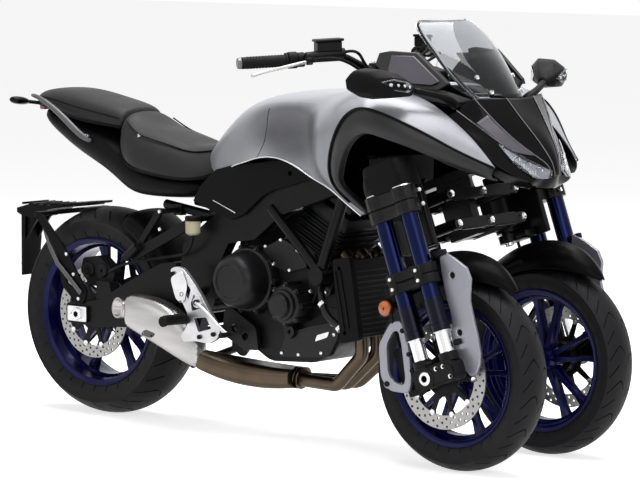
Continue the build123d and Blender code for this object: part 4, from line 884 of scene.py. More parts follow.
def add_clamps(name, where, body):
    eight = eight_outline(CLAMP_R, CLAMP_WAIST)
    thin = eight_outline(CLAMP_R - 2.5, CLAMP_WAIST - 2.5)
    upper = bmesh.new()
    for outline, low, high in ((eight, UPPER_CLAMP_H[0], UPPER_CLAMP_H[0] + 34),
                               (thin, UPPER_CLAMP_H[0] + 34, UPPER_CLAMP_H[0] + 38),
                               (eight, UPPER_CLAMP_H[0] + 38, UPPER_CLAMP_H[1])):
        draw_lift(upper, outline, low, high)
    draw_box(upper, (TUBE_D[0], 66, UPPER_CLAMP_H[0]), (TUBE_D[1], 118, UPPER_CLAMP_H[1]), 3)
    add_piece(upper, "upper_clamp_" + name, "clamp_bronze", where, body, replaces=("fork_yoke_" + name,),
              bevel=2)
    lower = bmesh.new()
    draw_lift(lower, eight, LOWER_CLAMP_H[0], LOWER_CLAMP_H[0] + 25)
    draw_lift(lower, thin, LOWER_CLAMP_H[0] + 25, LOWER_CLAMP_H[0] + 29)
    draw_lift(lower, eight, LOWER_CLAMP_H[0] + 29, LOWER_CLAMP_H[1])
    for d in TUBE_D:
        draw_box(lower, (d - 12, TUBE_W + 28, LOWER_CLAMP_H[0] + 2),
                 (d + 12, TUBE_W + 40, LOWER_CLAMP_H[1] - 2), 3)
    add_piece(lower, "lower_clamp_" + name, "cast_black", where, body, bevel=2)
    rims = bmesh.new()
    for d in TUBE_D:
        draw_upright(rims, [(0, TUBE_R), (3, TUBE_R + 1), (4, TUBE_R + 6), (0, TUBE_R + 8)],
                     (d, TUBE_W, UPPER_CLAMP_H[1] - 1), 32)
    add_piece(rims, "clamp_rims_" + name, "bright_steel", where, body)
    spots = [((TUBE_D[1] + 37, TUBE_W - 18, UPPER_CLAMP_H[0] + rise), (1, 0.2, 0), 6.5, 7) for rise in (16, 56)]
    spots += [((d, TUBE_W + 40, h), (0, 1, 0), 5.5, 4)
              for d in TUBE_D for h in (LOWER_CLAMP_H[0] + 13, LOWER_CLAMP_H[1] - 14)]
    add_bolts("clamp_bolts_" + name, spots, where, body)


# %% Leg cap and kingpin plates
CAP_OUTLINE = [(-24, 76), (129, 76), (134, 132), (116, 164), (-6, 164), (-27, 134)]


def add_leg_cap(name, where, body):
    cap = bmesh.new()
    low, high = UPPER_CLAMP_H[1] - 2, CAP_TOP_H - 3
    rings = [(0, low), (0, low + 10), (0.02, low + 50), (0.07, high - 8), (0.14, high)]
    middle = Vector((54, 116))
    draw_skin(cap, [[(*(Vector(p).lerp(middle, t)), h) for p in eased(CAP_OUTLINE, 18)] for t, h in rings])
    add_piece(cap, "leg_cap_" + name, "moulded_black", where, body, smooth=30, bevel=2)
    leaves = bmesh.new()
    for d in TUBE_D:
        rows = []
        for rise, wide, bulge in ((4, 22, 6), (22, 25, 9), (44, 22, 10), (60, 13, 8), (70, 3, 2)):
            rows.append([(d + wide * s, TUBE_W + 20 + bulge * (1 - s * s), low + rise)
                         for s in (-1, -0.5, 0, 0.5, 1)])
        part = bmesh.new()
        draw_net(part, rows)
        face_out(part, (0, 1, 0))
        add_part(leaves, part)
    add_piece(leaves, "cap_leaves_" + name, "moulded_black", where, body, levels=2, wall=4)
    plates = bmesh.new()
    draw_box(plates, (-24, 50, 640), (108, 70, 833), 5)
    for h in (638, 812):
        draw_box(plates, (-22, -2, h), (68, 54, h + 23), 6)
        draw_bar(plates, (0, 0, h), (0, 0, h + 24), 27, 32)
    draw_bar(plates, (0, 0, 640), (0, 0, 834), 15, 24)
    add_piece(plates, "kingpin_plates_" + name, "frame_black", where, body, bevel=1.5)
    add_bolts("kingpin_bolts_" + name, [((0, 0, h), (0, 0, up), 13, 8) for h, up in ((836, 1), (638, -1))],
              where, body)


# %% Seals, hoses and reflector
def add_leg_trim(name, where, body):
    seals = bmesh.new()
    bands = bmesh.new()
    for d in TUBE_D:
        for (low, high, radius), target in (((TUBE_FOOT_H - 9, TUBE_FOOT_H + 12, TUBE_R + 3), seals),
                                            ((TUBE_FOOT_H + 12, TUBE_FOOT_H + 84, TUBE_R + 1.2), seals),
                                            ((TUBE_FOOT_H - 12, TUBE_FOOT_H - 9, TUBE_R + 1), bands)):
            draw_bar(target, (d, TUBE_W, low), (d, TUBE_W, high), radius, 40)
    add_piece(seals, "tube_sleeves_" + name, "sleeve_dark", where, body, bevel=1.5)
    add_piece(bands, "tube_bands_" + name, "bright_steel", where, body, bevel=0.5)
    foot = bmesh.new()
    draw_turned(foot, [(165, 12), (165, 17), (168, 19), (170, 17), (170, 10), (150, 9), (150, 12)], 40,
                (AXLE_D, 0, AXLE_H))
    for d, h in ((70, 300), (96, 300), (112, 268)):
        draw_bolt(foot, (d, 161, h), (0, 1, 0), 7, 5)
    add_piece(foot, "axle_end_" + name, "bright_steel", where, body)
    ribs = bmesh.new()
    draw_plate(ribs, eased([(-18, 262), (122, 262), (124, 296), (96, 310), (8, 310), (-16, 300)], 10),
               [((AXLE_D, AXLE_H), 31, 32)], 160, 164)
    draw_bar(ribs, (52, 160, 318), (52, 160, 326), 9, 16)
    add_piece(ribs, "foot_rib_" + name, "cast_black", where, body, bevel=1.5)
    hose = [(-88, 92, AXLE_H + 110), (-84, 104, AXLE_H + 150), (-52, 140, AXLE_H + 176), (-44, 150, AXLE_H + 215),
            (-46, 120, AXLE_H + 262), (-40, 96, AXLE_H + 330), (-30, 84, AXLE_H + 400), (-26, 80, AXLE_H + 450)]
    add_tube("brake_hose_" + name, [hose], 4.5, "soft_rubber", where, body)
    lens = [(139, 4), (141, 20), (146, 22), (150, 20), (152, 12), (153, 4)]
    add_piece(drawn(draw_turned, lens, 32, (-62, 0, 508)), "side_reflector_" + name, "amber_lens", where, body)
    holder = bmesh.new()
    draw_turned(holder, [(135, 4), (135, 25), (144, 26), (146, 23), (141, 21), (139, 4)], 32, (-62, 0, 508))
    draw_box(holder, (-56, 130, 520), (-20, 138, 560), 3)
    add_piece(holder, "reflector_holder_" + name, "moulded_black", where, body)


# %% [markdown]
# A silver shield stands beside the disc ahead of the legs, and a silver loop guards the caliper behind them.
# Both are flat castings with eased corners, so they are drawn as plates with arcs at their corners.

# %% Shield and guard
SHIELD_OUTLINE = [
    # d, and height above the axle
    (150, 333), (190, 296), (222, 259), (226, 225), (210, 190), (202, 169), (198, 110), (196, 67), (190, 20),
    (178, -7), (160, -26), (138, -29), (124, -8), (116, 9), (110, 40), (106, 69), (110, 96), (118, 115),
    (128, 137), (129, 170), (128, 195), (131, 230), (134, 265), (140, 300),
]
SHIELD_HOLES = [((168, 252), 9), ((140, 96), 9)]
GUARD_OUTLINE = [(-122, 137), (-146, 47), (-128, 3), (-66, -21), (-40, 17), (-22, 117), (-22, 179), (-60, 185)]
GUARD_WINDOW = [(-96, 129), (-118, 51), (-106, 23), (-74, 5), (-62, 23), (-44, 117), (-42, 155), (-62, 157)]


def add_shields(name, where, body):
    lifted = [(d, AXLE_H + rise) for d, rise in SHIELD_OUTLINE]
    shield = bmesh.new()
    holes = [((d, AXLE_H + rise), radius, 16) for (d, rise), radius in SHIELD_HOLES]
    draw_plate(shield, lifted, holes, 100, 111)
    add_piece(shield, "disc_shield_" + name, "shield_silver", where, body, replaces=("fork_cover_" + name,),
              bevel=2.5)
    cups = bmesh.new()
    for (d, rise), radius in SHIELD_HOLES:
        h = AXLE_H + rise
        draw_bar(cups, (d, 101, h), (d, 105, h), radius, 20)
        draw_bolt(cups, (d, 105, h), (0, 1, 0), radius * 0.6, 4)
    for rise, start, end in ((73, 119, 140), (321, 126, 170)):
        draw_box(cups, (start, 104, AXLE_H + rise - 8), (end, 122, AXLE_H + rise + 8), 3)
    add_piece(cups, "shield_mounts_" + name, "cast_black", where, body, bevel=1)
    guard = bmesh.new()
    outline = eased([(d, AXLE_H + rise) for d, rise in GUARD_OUTLINE], 16)
    window = eased([(d, AXLE_H + rise) for d, rise in GUARD_WINDOW], 12)
    draw_plate(guard, outline, (), 129, 142, [window])
    draw_turned(guard, [(128, 5), (128, 13), (143, 13), (143, 5)], 24, (-128, 0, AXLE_H + 24))
    add_piece(guard, "caliper_guard_" + name, "shield_silver", where, body, bevel=2.5)
    spots = [((d, 142, AXLE_H + rise), (0, 1, 0), 7, 4) for d, rise in ((-30, 36), (-26, 82), (-26, 150))]
    spots.append(((-128, 143, AXLE_H + 24), (0, 1, 0), 8, 4))
    add_bolts("guard_bolts_" + name, spots, where, body, "cast_black")


# %% [markdown]
# The mudguard is a thin moulded hood that follows the tyre, with a raised spine and a pointed beak.  Its net
# has one row for each angle round the axle and one column for each place across the tyre.

# %% Mudguards
HOOD_ROWS = [
    # degrees ahead of the axle's vertical; crown and edge above the tread; half width
    (-40, 34, 14, 54),
    (-28, 46, 0, 64),
    (-16, 54, -11, 70),
    (-4, 61, -14, 74),
    (8, 67, -14, 75),
    (20, 73, -8, 73),
    (30, 75, -1, 69),
    (38, 72, 8, 60),
    (46, 62, 16, 46),
    (53, 48, 24, 28),
    (58, 37, 29, 9),
]
HOOD_COLUMNS = [(-1, 0), (-0.96, 0.34), (-0.70, 0.70), (-0.34, 0.90), (-0.10, 0.95), (0, 1.0), (0.10, 0.95),
                (0.34, 0.90), (0.70, 0.70), (0.96, 0.34), (1, 0)]


def add_hood(name, where, body):
    rows = []
    for degrees, crown, edge, half in HOOD_ROWS:
        angle = radians(degrees)
        row = []
        for across, share in HOOD_COLUMNS:
            radius = FRONT_TYRE_R + edge + (crown - edge) * share
            row.append((AXLE_D + radius * sin(angle), half * across, AXLE_H + radius * cos(angle)))
        rows.append(row)
    add_net("hood_" + name, rows, (0, 0, 1), "hood_black", where, body, replaces=("front_fender_" + name,),
            wall=4)
    stays = bmesh.new()
    draw_box(stays, (43, 60, 552), (64, 113, 570), 4)
    for w in (66, -66):
        draw_plate(stays, eased([(-30, 540), (88, 548), (78, 574), (-20, 566)], 8), (), w,
                   w + (5 if w > 0 else -5))
    add_piece(stays, "hood_stay_" + name, "moulded_black", where, body, bevel=1)


# %% Dress both legs
for name, where in LEG_FRAMES.items():
    body = "fork_" + name
    add_clamps(name, where, body)
    add_leg_cap(name, where, body)
    add_leg_trim(name, where, body)
    add_shields(name, where, body)
    add_hood(name, where, body)
print("legs dressed:", len(LEG_FRAMES))

# %% [markdown]
# The lean linkage stays as the frame's own castings.  What shows from outside are the bright pin heads at its
# front and back, so each pin gets its nut.

# %% Linkage hardware
PIVOT_H = {"lower_arm": 689.8, "upper_arm": 775.8}
CENTRE_FRAME = TO_ROW @ Matrix.Translation((0, -HALF_TRACK, 0)) @ STEER_AXES


def add_link_bolts():
    for body, h in PIVOT_H.items():
        add_bolts(body + "_bolts", [((d, y, h), (way, 0, 0), 11, tall) for y in (-150, 0, 150)
                                    for d, way, tall in ((112, 1, 7), (-76, -1, 6))], CENTRE_FRAME, body)
        ribs = bmesh.new()
        for y in (-75, 75):
            draw_box(ribs, (96, y - 50, h + 13), (110, y + 50, h + 17), 1.5)
            draw_box(ribs, (96, y - 50, h - 17), (110, y + 50, h - 13), 1.5)
        add_piece(ribs, body + "_ribs", "frame_black", CENTRE_FRAME, body)


add_link_bolts()

# %% [markdown]
# The silver body is one painted skin on the real machine: it covers the tank, runs down both flanks to the
# knees and sweeps forward over each wheel arch to the nose.  Two nets of points make it, one over the tank and
# one that fans round the arch.  They share their points at the seam, so after merging and mirroring one
# subdivided surface flows over everything.

# %% The silver skin
TANK_ROWS = [
    # from the centre line over the shoulder and down the flank to the lower edge
    [(476, 0, 862), (476, 46, 857), (477, 80, 844), (478, 93, 830), (480, 97, 815), (482, 100, 800)],
    [(513, 0, 907), (513, 56, 901), (514, 96, 876), (514, 115, 846), (514, 120, 812), (516, 122, 780)],
    [(552, 0, 942), (552, 64, 935), (552, 110, 904), (552, 131, 862), (550, 134, 812), (548, 134, 766)],
    [(592, 0, 967), (592, 72, 961), (592, 124, 932), (592, 145, 886), (590, 148, 836), (588, 148, 790)],
    [(640, 0, 993), (640, 80, 989), (640, 140, 963), (640, 162, 910), (638, 162, 852), (632, 164, 808)],
    [(700, 0, 1013), (700, 88, 1010), (700, 166, 984), (700, 180, 926), (698, 176, 862), (695, 188, 822)],
    [(770, 0, 1027), (770, 96, 1024), (770, 200, 1000), (770, 182, 944), (770, 176, 888), (770, 212, 842)],
    [(850, 0, 1036), (850, 104, 1033), (850, 222, 1010), (850, 194, 956), (852, 188, 896), (856, 236, 848)],
    [(930, 0, 1039), (930, 112, 1036), (930, 238, 1014), (932, 208, 960), (934, 206, 892), (938, 250, 829)],
    [(1000, 0, 1038), (1000, 124, 1035), (1002, 256, 1012), (1006, 244, 950), (1008, 250, 876), (1004, 256, 797)],
]
ARCH_ROWS = [
    # from the arch line inwards to the tank, and further forward to the upper edge beside the screen
    [(1210, 262, 704), (1205, 261, 703), (1201, 260, 702), (1197, 259, 701), (1192, 257, 700), (1188, 256, 699)],
    [(1167, 280, 737), (1163, 281, 737), (1160, 281, 736), (1156, 280, 736), (1153, 279, 735), (1149, 277, 734)],
    [(1126, 296, 771), (1120, 298, 773), (1113, 297, 774), (1106, 294, 775), (1100, 288, 775), (1093, 280, 774)],
    [(1129, 332, 824), (1106, 332, 828), (1080, 324, 826), (1054, 304, 820), (1029, 280, 810), (1004, 256, 797)],
    [(1158, 360, 888), (1132, 362, 890), (1100, 352, 887), (1068, 328, 881), (1038, 292, 878), (1008, 250, 876)],
    [(1199, 384, 948), (1166, 384, 957), (1124, 370, 960), (1084, 344, 956), (1044, 300, 953), (1006, 244, 950)],
    [(1238, 392, 992), (1206, 374, 1014), (1158, 346, 1024), (1106, 312, 1024), (1054, 284, 1020), (1002, 256, 1012)],
    [(1286, 398, 1015), (1262, 354, 1046), (1214, 296, 1060), (1148, 240, 1058), (1074, 180, 1048), (1000, 124, 1035)],
    [(1338, 396, 1013), (1316, 350, 1047), (1280, 300, 1064), (1230, 254, 1066), (1176, 213, 1060), (1120, 176, 1050)],
    [(1406, 356, 981), (1392, 324, 1017), (1368, 288, 1040), (1334, 258, 1053), (1290, 232, 1057), (1240, 206, 1053)],
    [(1472, 306, 940), (1464, 284, 975), (1448, 260, 1000), (1424, 241, 1020), (1394, 225, 1036), (1359, 214, 1050)],
    [(1536, 252, 893), (1530, 242, 922), (1518, 231, 946), (1502, 222, 965), (1484, 214, 979), (1462, 208, 990)],
    [(1582, 214, 868), (1578, 210, 884), (1572, 208, 897), (1565, 206, 908), (1556, 204, 918), (1546, 202, 928)],
    [(1612, 194, 853), (1611, 194, 854), (1610, 194, 856), (1609, 194, 857), (1608, 194, 858), (1607, 194, 859)],
]


def add_silver_skin():
    mesh = bmesh.new()
    for rows in (TANK_ROWS, ARCH_ROWS):
        part = bmesh.new()
        draw_net(part, rows)
        add_part(mesh, part)
    bmesh.ops.remove_doubles(mesh, verts=mesh.verts, dist=SEAM)
    mirror_over(mesh)
    face_out(mesh, (0, 0, 1))
    return add_piece(mesh, "silver_skin", "silver_paint", replaces=("tank_cover", "side_fairings"), smooth=60,
                     levels=3, wall=4)


skin = add_silver_skin()
print("silver skin:", len(skin.data.polygons), "faces before smoothing")

# %% [markdown]
# The tank and the panel behind it meet in a fine joint.  It could be cut into the skin, but that would spoil
# the smooth net, so a hair-thin dark tube is laid on the finished surface, found by the nearest point.

# %% Tank joint
JOINT_LINE = [(787, 222, 990), (781, 214, 956), (771, 208, 919), (757, 208, 876), (750, 222, 842)]
LAID_STEPS = 6


def laid_on(piece, places, where):
    """The points moved onto a finished piece, still in the drawing's frame."""
    tree = BVHTree.FromObject(piece, bpy.context.evaluated_depsgraph_get())
    closer = [Vector(a).lerp(Vector(b), i / LAID_STEPS)
              for a, b in zip(places, places[1:]) for i in range(LAID_STEPS)]
    return [where.inverted() @ tree.find_nearest(where @ place)[0] for place in closer]


for name, where in FRAMES.items():
    add_tube("tank_joint_" + name, [laid_on(skin, JOINT_LINE, where)], 1.1, "arch_grey", where,
             slot="silver_paint")
print("tank joint points:", len(JOINT_LINE))

# %% [markdown]
# A moulded grey band lines each wheel arch.  It is a strip between an outer and an inner line, bowed a little
# between them, and its inner edge turns in towards the wheel.  A black seal fills the gap to the silver skin.

# %% Arch bands
BAND_OUTER = [row[0] for row in ARCH_ROWS[:12]] + [(1610, 196, 853)]
BAND_INNER = [
    (1214, 262, 716), (1184, 284, 749), (1148, 302, 784), (1162, 330, 815), (1191, 352, 861), (1227, 374, 906),
    (1275, 384, 940), (1317, 388, 944), (1360, 374, 928), (1407, 356, 914), (1468, 300, 879), (1510, 246, 846),
    (1603, 196, 816),
]
BAND_BOW = 9.0
BAND_RETURN = 26.0


def band_row(outer, inner):
    """Points across the strip: out over the bow, to the inner edge and back in."""
    outer = Vector(outer) - Vector((0, 3, 0))
    inner = Vector(inner)
    bow = Vector((0, BAND_BOW, 0)) * min(1, (outer - inner).length / 50)
    rim = inner + (outer - inner) * 0.12
    return [outer, outer.lerp(inner, 0.3) + bow, outer.lerp(inner, 0.68) + bow, rim, inner - Vector((0, 2, 0)),
            inner + Vector((0, -BAND_RETURN, 0))]


for name, where in FRAMES.items():
    rows = [band_row(*pair) for pair in zip(BAND_OUTER, BAND_INNER)]
    add_net("arch_band_" + name, rows, (0, 1, 0.3), "arch_grey", where, replaces=("arch_bands",),
            wall=4)
    seal = [(x, y + 1, z) for x, y, z in BAND_OUTER[1:]]
    add_tube("arch_seal_" + name, [seal], 3.6, "moulded_black", where)
    # A bright steel tube along the silver skin's flared lower edge is a painted highlight, the light caught on the
    # lip.
    lip = [(x, y + 1, z) for x, y, z in [row[5] for row in TANK_ROWS[2:] + ARCH_ROWS[2::-1]]]
    add_tube("skin_lip_highlight_" + name, [lip], 2.2, "bright_steel", where, slot="silver_paint")
print("arch bands: 2 of", len(BAND_INNER), "rows")

# %% [markdown]
# Behind each arch a black wall closes the body off from the wheels.  It starts on the inner edge of the band
# and runs in to the middle, far enough back for the legs to lean and steer in front of it.  Its black, darker
# than any finish and without sheen, is painted shade for the deep shade inside the arch.

# %% Arch walls
WALL_EDGE = [(1214, 236, 716), (1184, 258, 749), (1150, 276, 784), (1162, 304, 815), (1191, 326, 861),
             (1200, 346, 906), (1184, 344, 950), (1168, 336, 998)]
WALL_MIDDLE = 1088
for name, where in FRAMES.items():
    rows = [[(x, y, z), (x - 44, y * 0.94, z), (WALL_MIDDLE, y * 0.55, z), (WALL_MIDDLE - 6, 0, z)]
            for x, y, z in WALL_EDGE]
    add_net("arch_wall_" + name, rows, (1, 0, 0), "painted_shade_black", where, wall=3)
print("arch walls:", len(WALL_EDGE), "rows each")

# %% [markdown]
# The nose is a gloss-black beak.  Sharp ridges run from the screen's foot down to the chin, so its net has one
# column for each ridge, and those columns get an edge crease that keeps them crisp when the net is smoothed.

# %% Nose
NOSE_ROWS = [
    # centre line, first ridge, main ridge, upper lamp line, lower lamp line, the edge that turns in
    [(1548, 0, 1034), (1550, 64, 1038), (1508, 158, 1040), (1468, 184, 1004), (1440, 196, 988), (1400, 180, 962)],
    [(1584, 0, 990), (1586, 55, 992), (1546, 140, 994), (1520, 168, 968), (1500, 192, 952), (1450, 174, 925)],
    [(1628, 0, 948), (1622, 42, 947), (1576, 115, 955), (1558, 150, 938), (1545, 186, 917), (1490, 166, 890)],
    [(1660, 0, 912), (1650, 32, 910), (1611, 85, 914), (1586, 132, 915), (1574, 178, 880), (1520, 160, 860)],
    [(1680, 0, 876), (1670, 22, 877), (1650, 55, 879), (1612, 106, 890), (1600, 166, 852), (1545, 150, 835)],
    [(1688, 0, 846), (1680, 12, 849), (1674, 24, 852), (1646, 72, 865), (1636, 134, 826), (1580, 120, 808)],
    [(1684, 0, 822), (1682, 10, 822), (1680, 20, 825), (1676, 34, 836), (1672, 88, 806), (1610, 80, 792)],
    [(1660, 0, 786), (1660, 12, 786), (1658, 24, 786), (1652, 40, 787), (1640, 64, 788), (1600, 60, 788)],
]
RIDGE_CREASES = {1: 0.75, 2: 0.75, 3: 0.75, 4: 0.55}


def add_nose():
    mesh = bmesh.new()
    draw_net(mesh, NOSE_ROWS)
    mesh.verts.index_update()
    crease = mesh.edges.layers.float.new("crease_edge")
    count = len(NOSE_ROWS[0])
    for edge in mesh.edges:
        first, second = sorted(vert.index for vert in edge.verts)
        if second - first == count:
            edge[crease] = RIDGE_CREASES.get(first % count, 0)
    mirror_over(mesh)
    face_out(mesh, (1, 0, 0))
    return add_piece(mesh, "nose_skin", "gloss_black", replaces=("nose_cowl",), smooth=24, levels=3, wall=4)


add_nose()
PANEL_SHARES = (0.06, 0.5, 0.94)
for name, where in FRAMES.items():
    # Thin grey tubes along the ridges are painted highlights: they stand in for the light caught on the creases.
    ridges = [[Vector(row[column]) + Vector((1.2, 0, 0.6)) for row in NOSE_ROWS[:7]] for column in (1, 2, 3)]
    add_tube("nose_ridge_highlights_" + name, ridges, 1.6, "ridge_grey", where)
    panel = [[Vector(row[2]).lerp(Vector(row[3]), share) + Vector((2.2, 1.6, 1.2)) for share in PANEL_SHARES]
             for row in NOSE_ROWS[1:5]]
    add_net("nose_panel_" + name, panel, (1, 0.5, 0), "panel_violet", where, wall=1.5)
print("nose ridges:", len(RIDGE_CREASES))

# %% [markdown]
# Each headlamp is a slim eye under the main ridge: a clear cover, three small bright bowls behind it and a
# grey surround.

# %% Headlamps
LENS_ROWS = [
    # top edge, crown and bottom edge of the eye, from its outer end to the middle
    [(1590, 137, 916), (1594, 137, 909), (1596, 137, 902)],
    [(1610, 116, 899), (1620, 122, 883), (1621, 126, 866)],
    [(1632, 92, 881), (1644, 102, 862), (1640, 110, 842)],
    [(1655, 66, 863), (1668, 80, 844), (1666, 88, 825)],
    [(1679, 40, 844), (1688, 54, 831), (1686, 64, 815)],
    [(1688, 26, 838), (1691, 34, 830), (1691, 40, 821)],
]
BOWLS = [(1612, 108, 868), (1632, 84, 853), (1655, 60, 838)]

for name, where in FRAMES.items():
    add_net("lamp_cover_" + name, LENS_ROWS, (1, 0, 0), "lamp_lens", where, replaces=("headlamps",),
            wall=2)
    surround = [[(x - 9, y, z) for x, y, z in row] for row in LENS_ROWS]
    add_net("lamp_surround_" + name, surround, (1, 0, 0), "lamp_grey", where, wall=2)
    bowls = bmesh.new()
    for x, y, z in BOWLS:
        draw_upright(bowls, [(0, 4), (6, 6), (14, 11), (14, 12.5), (4, 8), (-2, 4)], (x, y, z), 20, -70, "Z")
    add_piece(bowls, "lamp_bowls_" + name, "chrome", where)
print("headlamp bowls:", 2 * len(BOWLS))

# %% [markdown]
# Between the nose and the bars stand the cockpit sides, the instruments and the screen.  The screen is one
# clear sheet: level arcs that lean back as they rise, with its upper corners rounded.

# %% Screen
SCREEN_ROWS = [
    # station of the middle, station of the edge, half width, height
    (1548, 1470, 92, 1032),
    (1519, 1432, 122, 1070),
    (1484, 1396, 140, 1110),
    (1440, 1360, 150, 1160),
    (1392, 1314, 150, 1205),
    (1352, 1280, 134, 1238),
    (1332, 1272, 104, 1248),
]
SCREEN_STEPS = 6


def screen_row(middle, edge, half, z, shift=0.0, share=1.0):
    """Points on one level arc, from the left edge to the right one."""
    row = []
    for i in range(2 * SCREEN_STEPS + 1):
        t = share * (1 - i / SCREEN_STEPS)
        row.append((middle - (middle - edge) * t * t - shift, half * t, z))
    return row


def add_screen():
    rows = [screen_row(*row) for row in SCREEN_ROWS]
    add_net("screen_sheet", rows, (1, 0, 0), "clear_screen", replaces=("windscreen",), levels=1, wall=3.5,
            smooth=80)
    rim = [rows[0][0]] + [row[0] for row in rows] + rows[-1][1:-1] + [row[-1] for row in reversed(rows)]
    add_tube("screen_rim", [rim], 1.8, "lamp_lens", slot="clear_screen")
    mount = [screen_row(*row, shift=12, share=0.62) for row in SCREEN_ROWS[:4]]
    add_net("screen_mount", mount, (1, 0, 0), "gloss_black", levels=1, wall=4)
    add_bolts("screen_screws", [((x, side * y, z), (0.85, side * 0.35, 0.4), 7, 5) for side in (-1, 1)
                                for x, y, z in ((1462, 84, 1092), (1503, 70, 1052))])


add_screen()

# %% Cockpit
PANEL_CORNERS = [
    (1211, 226, 1126), (1216, 214, 1158), (1246, 203, 1164), (1332, 192, 1161), (1362, 188, 1138),
    (1434, 180, 1078), (1420, 206, 1062), (1330, 222, 1064), (1275, 226, 1078),
]
FACE_CORNERS = [
    (1262, 214, 1152), (1328, 197, 1152), (1352, 193, 1132), (1412, 188, 1084), (1398, 206, 1074),
    (1340, 219, 1076), (1290, 222, 1092), (1256, 224, 1110),
]


def add_slab(name, corners, depth, raised, material, where):
    """A plate with leaning faces, between an outer ring of corners and the same ring further in."""
    mesh = bmesh.new()
    outer = [(x, y + raised, z) for x, y, z in corners]
    inner = [(x, y + raised - depth, z) for x, y, z in corners]
    draw_skin(mesh, [inner, outer])
    add_piece(mesh, name, material, where, bevel=2)


for name, where in FRAMES.items():
    add_slab("cockpit_side_" + name, PANEL_CORNERS, 16, 0, "arch_grey", where)
    add_slab("cockpit_inset_" + name, FACE_CORNERS, 6, 3, "panel_violet", where)
    wall = [
        [(1216, 208, 1150), (1300, 194, 1150), (1356, 184, 1130), (1400, 176, 1100), (1440, 166, 1070)],
        [(1200, 170, 1120), (1290, 150, 1128), (1350, 140, 1110), (1400, 136, 1080), (1450, 130, 1050)],
        [(1170, 150, 1062), (1270, 126, 1066), (1340, 110, 1062), (1410, 100, 1046), (1470, 90, 1030)],
    ]
    add_net("cockpit_wall_" + name, wall, (0, 0, 1), "moulded_black", where, wall=4)


def add_dash():
    mesh = bmesh.new()
    draw_skin(mesh, [
        [(1160, -74, 1058), (1160, 74, 1058), (1150, 70, 1106), (1150, -70, 1106)],
        [(1190, -80, 1052), (1190, 80, 1052), (1196, 78, 1110), (1196, -78, 1110)],
        [(1258, -60, 1056), (1258, 60, 1056), (1254, 56, 1100), (1254, -56, 1100)],
    ])
    add_piece(mesh, "dash_case", "moulded_black", replaces=("dash",), bevel=5)
    add_piece(drawn(draw_box, (1150, -58, 1062), (1156, 58, 1101), 2), "dash_glass", "gloss_black")
    tray = bmesh.new()
    rows = [[(x, y, z - 0.0006 * y * y) for y in (-170, -100, 0, 100, 170)]
            for x, z in ((1010, 1030), (1050, 1026), (1130, 1030), (1220, 1046), (1330, 1044), (1450, 1030))]
    draw_net(tray, rows)
    hole = [face for face in tray.faces if abs(face.calc_center_median().y) < 60
            and 1050 < face.calc_center_median().x < 1130]
    bmesh.ops.delete(tray, geom=hole, context="FACES")
    face_out(tray, (0, 0, 1))
    add_piece(tray, "cockpit_tray", "moulded_black", levels=2, wall=4)


add_dash()
print("cockpit: sides, instruments and tray")

# %% [markdown]
# A mirror is an angular pod on a slim stalk.  Its sections run outboard, and the front face carries a
# three-cornered clear turn lamp with a row of small emitters.

# %% Mirrors
POD_RINGS = [
    # outboard, centre station, centre height, half length, half depth
    (306, 1404, 1064, 15, 11),
    (334, 1396, 1072, 42, 27),
    (368, 1378, 1080, 60, 38),
    (404, 1356, 1084, 66, 44),
    (432, 1334, 1084, 56, 38),
    (442, 1322, 1083, 44, 27),
]
POD_CORNERS = [(1.0, -0.2), (0.72, -0.86), (-0.2, -1.0), (-0.9, -0.55), (-1.0, 0.35), (-0.6, 0.95), (0.3, 0.9),
               (0.85, 0.42)]
LAMP_CORNERS = [(330, 0.05), (362, 0.30), (402, 0.34), (426, 0.16), (398, -0.40), (360, -0.52)]
GLASS_CORNERS = [(336, 0.2), (372, 0.6), (420, 0.5), (432, -0.1), (404, -0.6), (356, -0.5)]


def pod_point(y, corner):
    """A point on the pod's skin at an outboard distance, between its rings."""
    for first, second in zip(POD_RINGS, POD_RINGS[1:]):
        if first[0] <= y <= second[0]:
            t = (y - first[0]) / (second[0] - first[0])
            _, x, z, length, depth = [a + (b - a) * t for a, b in zip(first, second)]
            return Vector((x + corner[0] * length, y, z + corner[1] * depth))


for name, where in FRAMES.items():
    add_piece(drawn(draw_skin, [[pod_point(ring[0], corner) for corner in POD_CORNERS] for ring in POD_RINGS]),
              "mirror_pod_" + name, "moulded_black", where, replaces=("mirrors",), bevel=6)
    lamp = bmesh.new()
    outline = [pod_point(y, (1.02, level)) for y, level in LAMP_CORNERS]
    draw_skin(lamp, [[place - Vector((8, 0, 0)) for place in outline], outline])
    add_piece(lamp, "turn_lamp_" + name, "lamp_lens", where, bevel=1.5)
    add_piece(drawn(draw_skin, [[place + Vector((shift, 0, 0)) for place in outline] for shift in (-12, -3)]),
              "turn_lamp_bed_" + name, "lamp_grey", where)
    dots = bmesh.new()
    for y in (352, 370, 388, 406):
        draw_bar(dots, pod_point(y, (0.86, -0.05)), pod_point(y, (0.98, -0.05)), 6.5, 14, 4)
    add_piece(dots, "turn_lamp_dots_" + name, "lamp_white", where, bevel=1)
    glass = bmesh.new()
    outline = [pod_point(y, (-1.0, level)) for y, level in GLASS_CORNERS]
    draw_skin(glass, [outline, [place - Vector((2, 0, 0)) for place in outline]])
    add_piece(glass, "mirror_glass_" + name, "chrome", where, bevel=0.8)
    arm = bmesh.new()
    stalk = [((1406, 312, 1064), 15, 12), ((1428, 272, 1056), 13, 9), ((1450, 212, 1042), 13, 10),
             ((1452, 184, 1030), 18, 14), ((1444, 160, 1014), 22, 16)]
    draw_skin(arm, [[(x + a * wide, y, z + b * tall) for a, b in ring_points(1, 10)]
                    for (x, y, z), wide, tall in stalk])
    add_piece(arm, "mirror_stalk_" + name, "moulded_black", where, levels=1)
print("mirrors: pod, lamp, glass and stalk on each side")

# %% [markdown]
# Both seats are padded vinyl.  A cushion here is tight foam under a stretched cover, so its sections are drawn
# crowned, with the edge pulled in above the base, and one subdivided skin gives the soft turn.  The sewn
# welts are thin tubes laid on the seam lines.

